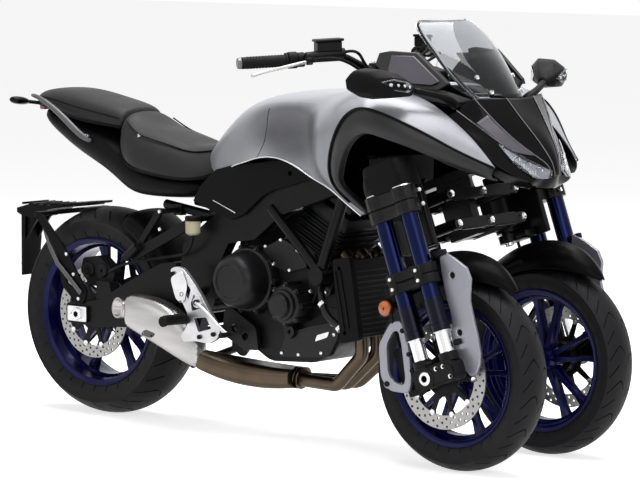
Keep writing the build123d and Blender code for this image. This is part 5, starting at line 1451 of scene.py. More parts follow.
# %% Seats
RIDER_HALF_RINGS = [
    # station, then the left half of the section from the crown to the base
    (112, [(0, 946), (50, 944), (84, 930), (100, 900), (104, 862), (96, 836), (60, 826)]),
    (146, [(0, 938), (62, 934), (104, 916), (122, 880), (128, 830), (122, 792), (70, 786)]),
    (196, [(0, 903), (68, 900), (116, 884), (142, 846), (148, 800), (142, 770), (76, 766)]),
    (262, [(0, 886), (66, 884), (112, 870), (144, 832), (152, 786), (146, 758), (76, 756)]),
    (330, [(0, 872), (60, 870), (102, 856), (136, 820), (150, 778), (146, 750), (74, 750)]),
    (400, [(0, 846), (54, 848), (90, 838), (120, 808), (142, 770), (140, 744), (72, 746)]),
    (456, [(0, 858), (44, 856), (78, 842), (104, 812), (130, 776), (128, 748), (66, 752)]),
    (512, [(0, 862), (34, 860), (62, 850), (88, 826), (110, 792), (106, 766), (54, 770)]),
    (556, [(0, 856), (26, 854), (48, 846), (68, 830), (84, 806), (80, 790), (40, 792)]),
]
PILLION_HALF_RINGS = [
    (-262, [(0, 984), (40, 983), (62, 974), (70, 964), (60, 956), (30, 954)]),
    (-236, [(0, 996), (54, 994), (86, 980), (96, 962), (88, 946), (44, 942)]),
    (-160, [(0, 1004), (64, 1001), (102, 984), (114, 956), (108, 934), (54, 930)]),
    (-79, [(0, 998), (68, 994), (108, 972), (120, 938), (114, 914), (56, 910)]),
    (5, [(0, 980), (70, 976), (108, 956), (118, 924), (112, 900), (54, 896)]),
    (70, [(0, 968), (70, 964), (106, 944), (112, 916), (106, 896), (52, 892)]),
    (112, [(0, 956), (64, 952), (94, 934), (102, 908), (96, 888), (48, 886)]),
    (124, [(0, 944), (56, 941), (84, 926), (92, 906), (88, 894), (44, 892)]),
]


def add_seat(name, half_rings, node, seam, welt):
    mesh = bmesh.new()
    draw_sections(mesh, half_rings)
    piece = add_piece(mesh, name, "seat_vinyl", replaces=(node,), smooth=60, levels=3)
    for side_name, where in FRAMES.items():
        for index, run in enumerate((seam, welt)):
            add_tube(f"{name}_welt_{index}_{side_name}", [run], 2.2, "moulded_black", where)


RIDER_SEAM = [(150, 106, 914), (200, 121, 880), (262, 119, 865), (330, 110, 850), (400, 98, 831), (456, 85, 836),
              (512, 69, 845)]
RIDER_WELT = [(122, 112, 836), (150, 122, 797), (200, 142, 775), (262, 147, 763), (330, 146, 756), (400, 140, 750),
              (456, 128, 755), (512, 106, 772), (548, 84, 792)]
PILLION_SEAM = [(-230, 92, 974), (-160, 108, 972), (-79, 114, 954), (5, 113, 940), (70, 109, 930), (112, 98, 920)]
PILLION_WELT = [(-230, 90, 949), (-160, 110, 938), (-79, 116, 918), (5, 114, 903), (70, 107, 898), (112, 97, 892)]
add_seat("rider_cushion", RIDER_HALF_RINGS, "rider_seat", RIDER_SEAM, RIDER_WELT)
add_seat("pillion_cushion", PILLION_HALF_RINGS, "pillion_seat", PILLION_SEAM, PILLION_WELT)
print("seats: rider and pillion")

# %% [markdown]
# The tail cover fills the space under both cushions.  A satin black shell goes round the seat rails from the
# lamp at the back to the knees, and the grab rails are flat grey blades along its upper edge.

# %% Tail, side covers and grab rails
TAIL_HALF_RINGS = [
    (-236, [(0, 946), (40, 944), (62, 936), (66, 922), (52, 908), (20, 904)]),
    (-190, [(0, 940), (60, 938), (92, 926), (98, 906), (82, 884), (30, 876)]),
    (-120, [(0, 918), (70, 916), (108, 904), (112, 876), (92, 842), (34, 832)]),
    (-40, [(0, 898), (74, 896), (114, 884), (118, 846), (98, 800), (38, 790)]),
    (40, [(0, 880), (74, 878), (114, 862), (120, 818), (102, 768), (40, 758)]),
    (110, [(0, 850), (76, 846), (116, 832), (122, 786), (106, 728), (44, 718)]),
    (170, [(0, 790), (84, 786), (124, 778), (130, 742), (118, 694), (50, 690)]),
    (260, [(0, 764), (92, 762), (136, 754), (140, 724), (128, 692), (60, 688)]),
    (360, [(0, 754), (92, 752), (140, 744), (144, 718), (130, 694), (60, 690)]),
    (468, [(0, 752), (86, 750), (134, 742), (140, 718), (128, 700), (60, 696)]),
]
SIDE_OUTLINE = [
    (470, 694), (500, 742), (560, 792), (640, 812), (730, 822), (800, 832), (858, 836), (940, 818), (986, 792),
    (900, 776), (840, 758), (780, 742), (738, 722), (700, 690), (668, 664), (620, 646), (560, 662),
]


def add_tail():
    add_piece(drawn(draw_sections, TAIL_HALF_RINGS), "tail_shell", "moulded_black", replaces=("tail_cover",),
              smooth=50, levels=2)


add_tail()
for name, where in FRAMES.items():
    add_piece(drawn(draw_plate, SIDE_OUTLINE, [((846, 796), 7, 12)], 152, 163), "side_cover_" + name,
              "moulded_black", where, replaces=("side_covers",), bevel=4)
    add_piece(drawn(draw_bar, (552, 165, 700), (640, 166, 668), 1.6, 8), "side_cover_line_" + name,
              "bright_steel", where)
    blade = [
        [(-238, 112, 986), (-238, 124, 984), (-238, 128, 978), (-236, 124, 972), (-236, 112, 974)],
        [(-190, 138, 986), (-190, 150, 984), (-190, 154, 978), (-188, 150, 970), (-188, 138, 972)],
        [(-130, 142, 966), (-132, 154, 964), (-132, 158, 956), (-136, 154, 948), (-136, 142, 950)],
        [(-62, 140, 924), (-64, 152, 922), (-64, 156, 912), (-68, 152, 900), (-68, 140, 902)],
        [(-4, 128, 872), (-6, 140, 870), (-6, 144, 860), (-12, 140, 848), (-12, 128, 850)],
        [(22, 112, 856), (22, 122, 854), (22, 124, 846), (18, 120, 838), (18, 110, 840)],
    ]
    add_piece(drawn(draw_skin, blade), "grab_blade_" + name, "rail_grey", where, replaces=("grab_rails",),
              levels=2)
    add_bolts("seat_bolts_" + name, [((8, 124, 862), (0, 1, 0.1), 8, 8), ((214, 118, 874), (0.4, 1, 0), 5, 5),
                                     ((214, 119, 852), (0.4, 1, 0), 5, 5)], where)
print("tail, side covers and grab rails")

# %% Rear lamps
def add_rear_lamps():
    add_piece(drawn(draw_box, (-262, -58, 930), (-240, 58, 962), 5), "tail_lamp", "red_lens",
              replaces=("rear_lamps",))
    tip = bmesh.new()
    draw_skin(tip, [[(-262, y, z) for y, z in ((-44, 976), (44, 976), (44, 966), (-44, 966))],
                    [(-210, y, z) for y, z in ((-70, 982), (70, 982), (70, 960), (-70, 960))]])
    add_piece(tip, "tail_tip", "rail_grey", bevel=3)
    for name, where in FRAMES.items():
        pod = bmesh.new()
        rings = [(118, 10, 8), (136, 20, 13), (164, 22, 14), (186, 12, 9)]
        draw_skin(pod, [[(-252 - (y - 118) * 0.12 + a * long, y, 958 + (y - 118) * 0.12 + b * tall)
                         for a, b in ring_points(1, 10)] for y, long, tall in rings])
        add_piece(pod, "rear_indicator_" + name, "gloss_black", where, levels=2)
        add_tube("indicator_stalk_" + name, [[(-238, 62, 950), (-244, 92, 954), (-250, 124, 958)]], 6,
                 "soft_rubber", where)
        lens = bmesh.new()
        draw_skin(lens, [[(x, y, 958 + (y - 118) * 0.12 + b * 7) for y, b in ((128, 0), (140, 1), (164, 1),
                                                                             (178, 0), (164, -1), (140, -1))]
                         for x in (-268, -277)])
        add_piece(lens, "rear_indicator_lens_" + name, "amber_lens", where, bevel=2)


add_rear_lamps()

# %% [markdown]
# The engine hangs in the frame as a stressed member: a crankcase cast in two halves, a bank of slanted
# cylinders on it and round covers on its sides.  The covers are turned shapes with stepped edges.  The bolt
# circles round them are what makes them read as machined covers and not as drums.

# %% Crankcase and cylinders
CASE_OUTLINE = [
    (562, 332), (562, 468), (622, 556), (758, 586), (898, 516), (996, 468), (1006, 382), (976, 304), (898, 240),
    (720, 230), (644, 272),
]
CYLINDER_FOOT = Vector((850, 0, 520))
CYLINDER_RISE = Vector((0.46, 0, 0.888))
FIN_COUNT = 9
FIN_PITCH = 11.0


def draw_slab_across(mesh, centre, along, length, depth, half, wall):
    """A slab square to the cylinder axis: its length along the machine, its depth up the axis."""
    turn = Matrix.Translation(centre) @ Matrix.Rotation(along.angle(Vector((0, 0, 1))), 4, "Y")
    return draw_box(mesh, (-length / 2, -half, 0), (length / 2, half, depth), wall, turn)


def add_engine():
    case = bmesh.new()
    draw_plate(case, eased(CASE_OUTLINE, 22), (), -98, 98)
    draw_plate(case, eased([(x * 0.94 + 46, z * 0.92 + 30) for x, z in CASE_OUTLINE], 22), (), -106, 106)
    add_piece(case, "crankcase", "engine_charcoal", replaces=("engine_block",), bevel=4)
    add_piece(drawn(draw_box, (580, -108, 404), (992, 108, 409), 1.5), "case_joint", "cast_black",
              slot="engine_black")
    bank = bmesh.new()
    draw_slab_across(bank, CYLINDER_FOOT, CYLINDER_RISE, 176, 60, 98, 8)
    for i in range(FIN_COUNT):
        foot = CYLINDER_FOOT + CYLINDER_RISE * (60 + FIN_PITCH * i)
        length, half = (168, 99) if i % 2 else (156, 95)
        draw_slab_across(bank, foot, CYLINDER_RISE, length, FIN_PITCH * 0.52, half, 1)
    core = CYLINDER_FOOT + CYLINDER_RISE * 40
    draw_slab_across(bank, core, CYLINDER_RISE, 146, 130, 90, 4)
    head = CYLINDER_FOOT + CYLINDER_RISE * (60 + FIN_PITCH * FIN_COUNT)
    draw_slab_across(bank, head, CYLINDER_RISE, 172, 46, 99, 8)
    draw_slab_across(bank, head + CYLINDER_RISE * 50, CYLINDER_RISE, 150, 44, 92, 14)
    add_piece(bank, "cylinder_bank", "engine_charcoal", bevel=1)


add_engine()

# %% Side covers of the engine
COVERS = [
    # name, station, height, side, steps of (reach from the case, radius), bolt circle radius, bolts
    ("clutch", 663, 471, -1, [(0, 97), (26, 97), (34, 93), (36, 86), (66, 84), (96, 76), (112, 66), (118, 56),
                              (118, 50), (113, 48), (113, 0.5)], 91, 10),
    ("pump", 836, 412, -1, [(0, 58), (62, 58), (70, 54), (72, 47), (84, 45), (86, 38), (98, 36), (104, 30),
                            (104, 0.5)], 52, 8),
    ("generator", 850, 430, 1, [(0, 78), (40, 78), (48, 73), (50, 66), (76, 62), (94, 50), (99, 34), (96, 30),
                                (96, 0.5)], 71, 9),
    ("sprocket", 662, 380, 1, [(-14, 54), (4, 54), (12, 48), (14, 40), (12, 0.5)], 47, 4),
]
CASE_HALF = 106.0


def add_cover(name, x, z, side, steps, circle, count):
    mesh = bmesh.new()
    profile = [(side * (CASE_HALF + reach), radius) for reach, radius in steps]
    draw_turned(mesh, profile, 56, (x, 0, z), closed=False)
    replaced = ("engine_covers",) if name == "clutch" else ()
    add_piece(mesh, name + "_cover", "cover_charcoal", replaces=replaced, smooth=28, bevel=1.2)
    seat = next(reach for reach, radius in steps if radius <= circle + 3) - 4
    lugs = bmesh.new()
    spots = []
    for a, b in ring_points(circle + 5, count, (x, z)):
        top = (a, side * (CASE_HALF + seat), b)
        draw_bar(lugs, (a, side * (CASE_HALF - 2), b), top, 9, 14)
        spots.append((top, (0, side, 0), 5, 4))
    add_piece(lugs, name + "_lugs", "cover_charcoal", bevel=1)
    add_bolts(name + "_bolts", spots, material="bolt_dark")


for row in COVERS:
    add_cover(*row)
print("engine covers:", len(COVERS))

# %% Small castings, pipes and the belly plate
CASE_BOLTS = [
    (786, 262), (850, 262), (936, 274), (984, 332), (976, 362), (812, 322), (720, 572), (778, 594), (842, 566),
    (812, 508), (752, 522), (892, 452), (948, 452), (976, 512), (944, 548), (900, 528), (590, 352), (640, 276),
    (690, 272),
]


def add_engine_trim():
    case = bmesh.new()
    draw_turned(case, [(-116, 4), (-116, 20), (-128, 22), (-136, 19), (-136, 8), (-132, 4)], 28, (820, 0, 330))
    draw_plate(case, eased([(560, 300), (640, 262), (700, 262), (690, 330), (600, 380), (566, 372)], 12),
               [((606, 322), 12, 16), ((648, 300), 12, 16)], -132, -118)
    draw_plate(case, eased([(770, 250), (960, 262), (1000, 330), (996, 372), (900, 352), (800, 320)], 16), (),
               -124, -104)
    draw_plate(case, eased([(700, 560), (780, 600), (850, 570), (880, 520), (800, 500), (730, 520)], 12), (),
               -122, -100)
    draw_plate(case, eased([(880, 440), (960, 440), (990, 520), (950, 560), (890, 530)], 12), (), -120, -98)
    add_piece(case, "case_castings", "cover_charcoal", bevel=3)
    add_piece(drawn(draw_plate, eased([(912, 306), (958, 322), (966, 340), (920, 326)], 5), (), -127, -123),
              "belly_badge_plate", "bright_steel", bevel=1)
    add_bolts("case_bolts", [((x, -124 if z < 400 else -121, z), (0, -1, 0), 5.5, 4) for x, z in CASE_BOLTS])
    runs = [[(944, -112, 486), (950, -150, 470), (966, -160, 436), (980, -164, 400), (1016, -168, 372),
             (1060, -172, 356)]]
    add_tube("water_pipe", runs, 11, "cover_charcoal")
    add_tube("water_pipe_left", [[(944, 112, 486), (956, 150, 470), (1000, 166, 520), (1060, 176, 546)]], 12,
             "soft_rubber")
    wires = [
        [(700, -100, 600), (760, -118, 640), (840, -112, 690), (900, -104, 720)],
        [(560, -104, 500), (540, -108, 560), (580, -112, 620), (640, -110, 650)],
        [(900, -122, 420), (930, -132, 460), (930, -126, 520), (900, -112, 560)],
    ]
    add_tube("engine_wires", wires, 5, "soft_rubber")
    clips = bmesh.new()
    for x, y, z in ((970, -162, 424), (1044, -171, 360)):
        draw_bar(clips, (x - 4, y, z + 4), (x + 4, y, z - 4), 14, 20)
    add_piece(clips, "pipe_clips", "bright_steel", bevel=0.8)


add_engine_trim()

# %% Radiator
CORE_FINS = 15
CORE_LEAN = 45.0
CORE_TALL = 220.0
SHROUD = [(1070, 320), (1138, 334), (1120, 452), (1100, 570), (1036, 560), (1052, 440)]


def add_radiator():
    add_piece(drawn(draw_plate, [(1085, 330), (1130, 340), (1090, 560), (1045, 550)], (), -184, 184),
              "radiator_core", "cast_black", slot="engine_black", replaces=("radiator",), bevel=2)
    fins = bmesh.new()
    for i in range(CORE_FINS):
        t = (i + 0.5) / CORE_FINS
        x, z = 1131 - CORE_LEAN * t, 341 + CORE_TALL * t
        draw_box(fins, (x - 3, -178, z - 2), (x + 3, 178, z + 2))
    add_piece(fins, "radiator_fins", "bolt_dark", slot="engine_black")
    for name, where in FRAMES.items():
        shroud = bmesh.new()
        draw_plate(shroud, eased(SHROUD, 10), [((1084, 352), 6, 12), ((1062, 536), 6, 12)], 178, 200)
        for x, z, top in ((1082, 360, 530), (1100, 366, 534)):
            draw_box(shroud, (x - 3, 199, z), (x + 3, 203, top), 1,
                     Matrix.Translation((x, 0, z)) @ Matrix.Rotation(radians(-11.5), 4, "Y")
                     @ Matrix.Translation((-x, 0, -z)))
        add_piece(shroud, "radiator_shroud_" + name, "moulded_black", where, bevel=2.5)


add_radiator()
print("radiator fins:", CORE_FINS)

# %% [markdown]
# Three headers sweep from the cylinder head, under the case and into one collector.  The pipes keep the
# frame's own solid with a finish of heat-tinted steel, and rings mark their slip joints.

# %% Header joints
def add_header_joints():
    rings = bmesh.new()
    for y in (-70, 0, 70):
        draw_bar(rings, (1043, y, 330), (1043, y, 340), 23, 28)
        draw_bar(rings, (1000, 0.9 * y - 6, 540), (994, 0.9 * y - 6, 548), 25, 28)
    for x in (772, 786, 800):
        draw_bar(rings, (x, -50, 182), (x + 6, -50, 181), 33, 32)
    add_piece(rings, "header_joints", "header_gold", bevel=1.5)


add_header_joints()

# %% [markdown]
# The silencer is a squat brushed can that turns up beside the wheel, with a slash-cut mouth and a ridged heat
# shield.  Its body is a skin over rounded sections, so it swells and narrows as the pressed sheet does.

# %% Silencer
CAN_RINGS = [
    # station, offset, height, half width, half depth
    (532, -184, 240, 26, 44),
    (500, -188, 262, 34, 58),
    (450, -193, 292, 40, 68),
    (400, -196, 318, 42, 71),
    (340, -198, 336, 41, 66),
    (290, -200, 348, 38, 58),
    (256, -200, 352, 33, 50),
    (246, -200, 353, 26, 42),
]


def rounded_ring(x, y, z, half_y, half_z, power=0.62, count=20):
    ring = []
    for i in range(count):
        a = 2 * pi * i / count
        c, s = cos(a), sin(a)
        ring.append((x, y + half_y * abs(c) ** power * (1 if c > 0 else -1),
                     z + half_z * abs(s) ** power * (1 if s > 0 else -1)))
    return ring


MOUTH_START = Vector((282, -190, 352))
MOUTH_ALONG = Vector((-0.93, -0.34, 0.10)).normalized()
MOUTH_CUT = Vector((206, -212, 360))
MOUTH_FACE = Vector((-0.42, -0.90, 0.12)).normalized()


def add_silencer():
    add_piece(drawn(draw_skin, [rounded_ring(*ring) for ring in CAN_RINGS]), "silencer_can", "brushed_steel",
              replaces=("muffler",), smooth=50, levels=1)
    mouth = bmesh.new()
    turn = Matrix.Translation(MOUTH_START) @ MOUTH_ALONG.to_track_quat("Z", "Y").to_matrix().to_4x4()
    verts = draw_turned(mouth, [(0, 27), (50, 29), (66, 31), (66, 26), (24, 24), (22, 1)], 36, closed=False)
    bmesh.ops.rotate(mouth, verts=verts, cent=(0, 0, 0), matrix=Matrix.Rotation(radians(90), 3, "X"))
    tips = [vert for vert in verts if abs(vert.co.z) > 60]
    bmesh.ops.transform(mouth, matrix=turn, verts=verts)
    for vert in tips:
        vert.co += MOUTH_ALONG * ((MOUTH_CUT - vert.co).dot(MOUTH_FACE) / MOUTH_ALONG.dot(MOUTH_FACE))
    add_piece(mouth, "silencer_mouth", "brushed_steel", smooth=40)
    # A black disc inside the mouth is painted shade, standing in for the dark inside of the bore.
    add_piece(drawn(draw_bar, MOUTH_START + MOUTH_ALONG * 24, MOUTH_START + MOUTH_ALONG * 25, 24, 32),
              "silencer_bore_shade", "painted_shade_black", slot="heat_steel")
    shield = bmesh.new()
    rows = []
    for x, z, half in ((300, 400, 20), (340, 396, 26), (390, 386, 29), (440, 366, 28), (478, 340, 22)):
        rows.append([(x, -198 + half * s, z - 10 * s * s + (2.5 if i % 2 else 0))
                     for i, s in enumerate((-1, -0.75, -0.5, -0.25, 0, 0.25, 0.5, 0.75, 1))])
    draw_net(shield, rows)
    face_out(shield, (0, 0, 1))
    add_piece(shield, "heat_shield", "bright_steel", slot="heat_steel", smooth=20, levels=1, wall=2)
    tag = eased([(330, 290), (372, 282), (384, 296), (344, 306)], 8)
    add_piece(drawn(draw_plate, tag, [((340, 296), 4, 10), ((374, 290), 4, 10)], -240, -236),
              "silencer_tag", "rail_grey", slot="heat_steel", bevel=0.8)


add_silencer()

# %% [markdown]
# The rider's footrest brackets are bright castings with three-cornered windows that save weight.  The peg
# folds on the machine but is drawn fixed here, with a ribbed rubber top.

# %% Footrests
BRACKET = [
    (448, 494), (470, 504), (500, 500), (540, 462), (572, 424), (598, 386), (624, 352), (646, 326), (632, 300),
    (600, 284), (552, 288), (500, 282), (490, 300), (516, 330), (518, 366), (496, 400), (470, 442),
]
BRACKET_WINDOWS = [
    [(500, 470), (530, 440), (520, 408), (494, 440)],
    [(542, 428), (572, 388), (534, 376), (530, 400)],
    [(540, 356), (590, 362), (610, 330), (560, 316)],
]
HEEL_PLATE = [(452, 470), (498, 498), (520, 452), (506, 396), (476, 404), (462, 440)]


def add_footrests(name, where):
    bracket = bmesh.new()
    draw_plate(bracket, eased(BRACKET, 8), [((566, 302), 6, 12)], 226, 240,
               [eased(window, 5) for window in BRACKET_WINDOWS])
    draw_bar(bracket, (560, 236, 404), (560, 246, 404), 17, 24)
    add_piece(bracket, "foot_bracket_" + name, "cast_alloy", where, replaces=("rider_footrests",), bevel=2.5)
    add_piece(drawn(draw_plate, eased(HEEL_PLATE, 14), (), 241, 245), "heel_plate_" + name, "bright_steel",
              where, slot="cast_alloy", bevel=1.5)
    peg = bmesh.new()
    draw_bar(peg, (516, 242, 350), (512, 336, 352), 13, 20)
    for i in range(8):
        y = 256 + 10 * i
        draw_box(peg, (499, y - 3, 360), (529, y + 3, 368), 1)
    draw_bar(peg, (512, 336, 352), (512, 344, 352), 16, 20)
    add_piece(peg, "rider_peg_" + name, "soft_rubber", where, bevel=1)
    trim = bmesh.new()
    draw_bar(trim, (498, 150, 424), (498, 228, 424), 13, 20)
    draw_bar(trim, (560, 246, 404), (560, 254, 404), 9, 20)
    for x, z in ((462, 482), (566, 302), (620, 314), (498, 424)):
        draw_bolt(trim, (x, 241, z), (0, 1, 0), 7, 6)
    add_piece(trim, "foot_bolts_" + name, "cast_black", where, bevel=0.8)


PEDAL_RUN = {
    "right": ("brake_pedal", [(560, 250, 404), (620, 256, 372), (668, 262, 334), (700, 268, 322)]),
    "left": ("gear_pedal", [(560, 250, 404), (620, 256, 380), (668, 262, 350), (690, 268, 346)]),
}
for name, where in FRAMES.items():
    add_footrests(name, where)
    pedal, run = PEDAL_RUN[name]
    add_tube(pedal, [run], 6, "cast_alloy", where)
    tip = bmesh.new()
    x, y, z = run[-1]
    draw_bar(tip, (x, y - 8, z), (x, y + 34, z), 8, 16)
    add_piece(tip, pedal + "_tip", "soft_rubber", where, bevel=1)
    add_bolts("pillion_bolts_" + name, [((x, 169, z), (0, 1, 0), 6, 5)
                                        for x, z in ((345, 655), (492, 640), (240, 530), (346, 602))], where)
print("footrests dressed on both sides")

# %% [markdown]
# Small parts finish the back: the caliper's round covers, the axle nuts with their adjuster blocks, the cream
# fluid pot with its black cap, the guard over the tyre and the ribbed tray that a number plate would hang from.

# %% Rear hardware
POT_PLACE = (497, -193, 0)


def add_rear_trim():
    covers = bmesh.new()
    for x, z in ((2, 452), (58, 452)):
        draw_turned(covers, [(-112, 4), (-112, 21), (-118, 22), (-121, 18), (-121, 6), (-118, 3)], 28, (x, 0, z))
    add_piece(covers, "caliper_covers", "cast_black", bevel=0.8)
    for name, where in FRAMES.items():
        blocks = bmesh.new()
        draw_plate(blocks, eased([(-44, 297), (34, 297), (34, 343), (-44, 343)], 5), [((0, 320), 13, 24)],
                   158, 163)
        draw_turned(blocks, [(162, 10), (162, 20), (172, 20), (174, 17), (174, 10)], 6, (0, 0, 320))
        add_piece(blocks, "axle_blocks_" + name, "bright_steel", where, bevel=1)
        bolts = bmesh.new()
        draw_bolt(bolts, (-30, 163, 320), (0, 1, 0), 4, 3)
        draw_bar(bolts, (-60, 134, 320), (-46, 134, 320), 5, 12)
        for x, z in ((0, 366), (-20, 440), (-50, 500)):
            draw_bolt(bolts, (x, 158, z), (0, 1, 0), 6, 4)
        add_piece(bolts, "arm_bolts_" + name, "bright_steel", where)
    pot = [(596, 2), (596, 16), (602, 22), (638, 23), (640, 20), (640, 2)]
    add_piece(drawn(draw_upright, pot, POT_PLACE, 32), "fluid_pot", "cream_plastic",
              replaces=("brake_reservoir",))
    add_piece(drawn(draw_upright, [(638, 2), (638, 24), (650, 24), (652, 21), (652, 2)], POT_PLACE, 32),
              "fluid_pot_cap", "moulded_black")
    add_tube("rear_brake_hose", [[(497, -193, 596), (478, -178, 540), (380, -160, 520), (240, -156, 500),
             (140, -150, 470), (96, -126, 452)]], 4.5, "soft_rubber")


HUGGER_COLUMNS = [(-112, -26), (-110, 0), (-92, 17), (-50, 25), (0, 28), (50, 25), (92, 17), (110, 0), (112, -26)]


def add_hugger():
    rows = []
    for degrees in (24, 34, 44, 54, 64):
        angle = radians(degrees)
        row = []
        for y, rise in HUGGER_COLUMNS:
            radius = REAR_TYRE_R + 12 + rise
            row.append((radius * cos(angle), y, REAR_TYRE_R + radius * sin(angle)))
        rows.append(row)
    add_net("rear_guard", rows, (0.6, 0, 0.8), "moulded_black", replaces=("rear_hugger",), wall=4)


RIB_COUNT = 9
HOLDER_TRAY = [(-60, 652), (-60, 645), (-150, 632), (-225, 620), (-300, 590), (-345, 597), (-361, 604),
               (-361, 618), (-295, 636), (-221, 632), (-150, 644)]
HOLDER_FLAP = [(-361, 606), (-343, 600), (-346, 520), (-350, 478), (-354, 404), (-361, 404)]
HOLDER_WEB = [(-346, 600), (-346, 520), (-330, 545), (-296, 588), (-240, 618)]
HOLDER_ARM = [(-190, 618), (-158, 618), (-40, 494), (-22, 462), (34, 388), (16, 350), (-12, 350), (-70, 400),
              (-84, 470), (-96, 506)]
ARM_WINDOW = [(-60, 462), (-52, 412), (0, 384)]
RAIL_PATH = [(-240, 84, 612), (-200, 108, 590), (-154, 140, 550), (-120, 158, 516), (-84, 164, 470),
             (-40, 164, 432), (14, 164, 384)]


def add_plate_holder():
    """The plate holder: a tray, whose ribs come with the trim, a slim hanger and two arms from the swingarm."""
    hanger = bmesh.new()
    draw_plate(hanger, HOLDER_TRAY, (), -58, 58)
    draw_plate(hanger, eased(HOLDER_FLAP, 6), (), -38, 38)
    for y in (-30, 22):
        draw_plate(hanger, HOLDER_WEB, (), y, y + 8)
    draw_box(hanger, (-190, -156, 610), (-160, 156, 622), 2)
    for low in (-158, 150):
        draw_plate(hanger, eased(HOLDER_ARM, 12), (), low, low + 8, [eased(ARM_WINDOW, 6)])
    add_piece(hanger, "plate_hanger", "moulded_black", replaces=("plate_holder",), bevel=1.5)
    rails = bmesh.new()
    for side in (1, -1):
        rings = [[(x + a * 5, side * (y + b), z + a * 5) for a, b in ((-1, -2), (1, -2), (1, 3), (-1, 3))]
                 for x, y, z in RAIL_PATH]
        draw_skin(rails, rings)
    bmesh.ops.recalc_face_normals(rails, faces=rails.faces)
    add_piece(rails, "holder_rails", "rail_grey", bevel=1.5)


def add_plate_holder_trim():
    ribs = bmesh.new()
    for i in range(RIB_COUNT):
        x = -336 + 30 * i
        z = 630 + max(0, i - 3) * 1.4
        draw_box(ribs, (x - 3, -58, z), (x + 3, 58, z + 7), 1)
    add_piece(ribs, "tray_ribs", "moulded_black")
    add_bolts("plate_bolts", [((-361, y, 440), (-1, 0, 0), 6, 4) for y in (-30, 30)])
    add_piece(drawn(draw_box, (-364, -26, 560), (-350, 26, 584), 4), "plate_lamp", "lamp_white")
    add_piece(drawn(draw_upright, [(0, 2), (0, 16), (5, 15), (6, 2)], (-359, 0, 516), 28, axis="Z"),
              "rear_reflector", "red_lens")


add_rear_trim()
add_hugger()
add_plate_holder()
add_plate_holder_trim()
print("rear hardware in place")

# %% [markdown]
# The bars carry the rider's controls: rubber grips with bright end weights, forged levers on their perches,
# switch boxes and the fluid pot of the front brake.  All of it turns with the bars.

# %% Controls
GRIP_TIP = Vector((875, 410, 1124))
GRIP_ALONG = Vector((0.585, -0.808, 0.052)).normalized()


def along_bar(distance, forward=0.0, rise=0.0):
    """A point beside the bar, measured inwards from the end of the grip."""
    across = Vector((GRIP_ALONG.y, -GRIP_ALONG.x, 0)).normalized() * -1
    return GRIP_TIP + GRIP_ALONG * distance + across * forward + Vector((0, 0, rise))


def add_controls(name, where):
    add_piece(drawn(draw_bar, along_bar(-14), along_bar(-2), 15, 24, 17), "bar_end_" + name, "ridge_grey",
              where, "handlebar", slot="steel", bevel=2)
    rings = bmesh.new()
    for i in range(12):
        draw_bar(rings, along_bar(14 + 9 * i), along_bar(19 + 9 * i), 17.8, 24)
    draw_bar(rings, along_bar(126), along_bar(132), 22, 28)
    add_piece(rings, "grip_ribs_" + name, "soft_rubber", where, "handlebar", bevel=0.6)
    box = bmesh.new()
    for low, high, radius in ((134, 160, 24), (160, 182, 21), (188, 206, 17)):
        draw_bar(box, along_bar(low), along_bar(high), radius, 20)
    add_piece(box, "switch_box_" + name, "moulded_black", where, "handlebar", bevel=2)
    perch = bmesh.new()
    draw_bar(perch, along_bar(192), along_bar(186, 48, -2), 10)
    draw_bar(perch, along_bar(204, 34), along_bar(176, 58, -2), 9)
    add_piece(perch, "lever_perch_" + name, "cast_black", where, "handlebar", bevel=1.5)
    blade = [(along_bar(180, 54, -4), 5, 6), (along_bar(150, 62, -8), 4, 5.5), (along_bar(110, 60, -15), 3.5, 5),
             (along_bar(66, 54, -23), 3.5, 4.5), (along_bar(34, 50, -30), 3.5, 4), (along_bar(22, 50, -34), 5, 6),
             (along_bar(14, 50, -35), 3, 4)]
    sections = [[place + Vector((a * thick, 0, b * tall)) for a, b in ring_points(1, 10)]
                for place, thick, tall in blade]
    add_piece(drawn(draw_skin, sections), "lever_" + name, "brushed_steel", where, "handlebar", slot="steel",
              levels=1)
    pot = bmesh.new()
    draw_bar(pot, along_bar(178, 30, 8), along_bar(296, 24, 14), 14, 20)
    for ends_at, sides, levels in (((212, 284), (-8, 40), (20, 48)), ((207, 289), (-12, 44), (48, 56))):
        draw_skin(pot, [[along_bar(s, f, r) for f, r in ((sides[0], levels[0]), (sides[1], levels[0]),
                                                        (sides[1], levels[1]), (sides[0], levels[1]))]
                        for s in ends_at])
    add_piece(pot, "control_pot_" + name, "cast_black", where, "handlebar", slot="black_plastic", bevel=3)
    hose = [along_bar(196, 48), along_bar(230, 70, 6), along_bar(290, 60, -6), (1078, 100, 1088),
            (1066, 52, 1066)]
    cable = [along_bar(292, 22, 14), along_bar(325, 46, 26), (1086, 112, 1112), (1080, 72, 1092),
             (1070, 36, 1072)]
    add_tube("control_hose_" + name, [hose, cable], 4.5, "soft_rubber", where, "handlebar")


for name, where in FRAMES.items():
    add_controls(name, where)


def add_bar_clamp():
    clamp = bmesh.new()
    draw_box(clamp, (1040, -46, 1108), (1092, 46, 1118), 4)
    draw_turned(clamp, [(-40, 4), (-40, 20), (40, 20), (40, 4)], 24, (1066, 0, 1084))
    add_piece(clamp, "bar_clamp", "cast_black", body="handlebar", bevel=2)
    add_bolts("bar_clamp_bolts", [((x, y, 1118), (0, 0, 1), 6, 5) for x in (1050, 1082) for y in (-34, 34)],
              body="handlebar")


add_bar_clamp()
print("controls on both bars")

# %% [markdown]
# The studio is a pale floor that the camera sees as white, a soft sky and three large lamps.  A ray from the
# camera, from a mirror-like face or through glass sees plain white behind the machine, and a pale floor with a
# glow, on which the shadow stays soft.  Every other ray meets a darker floor, so little light bounces up.

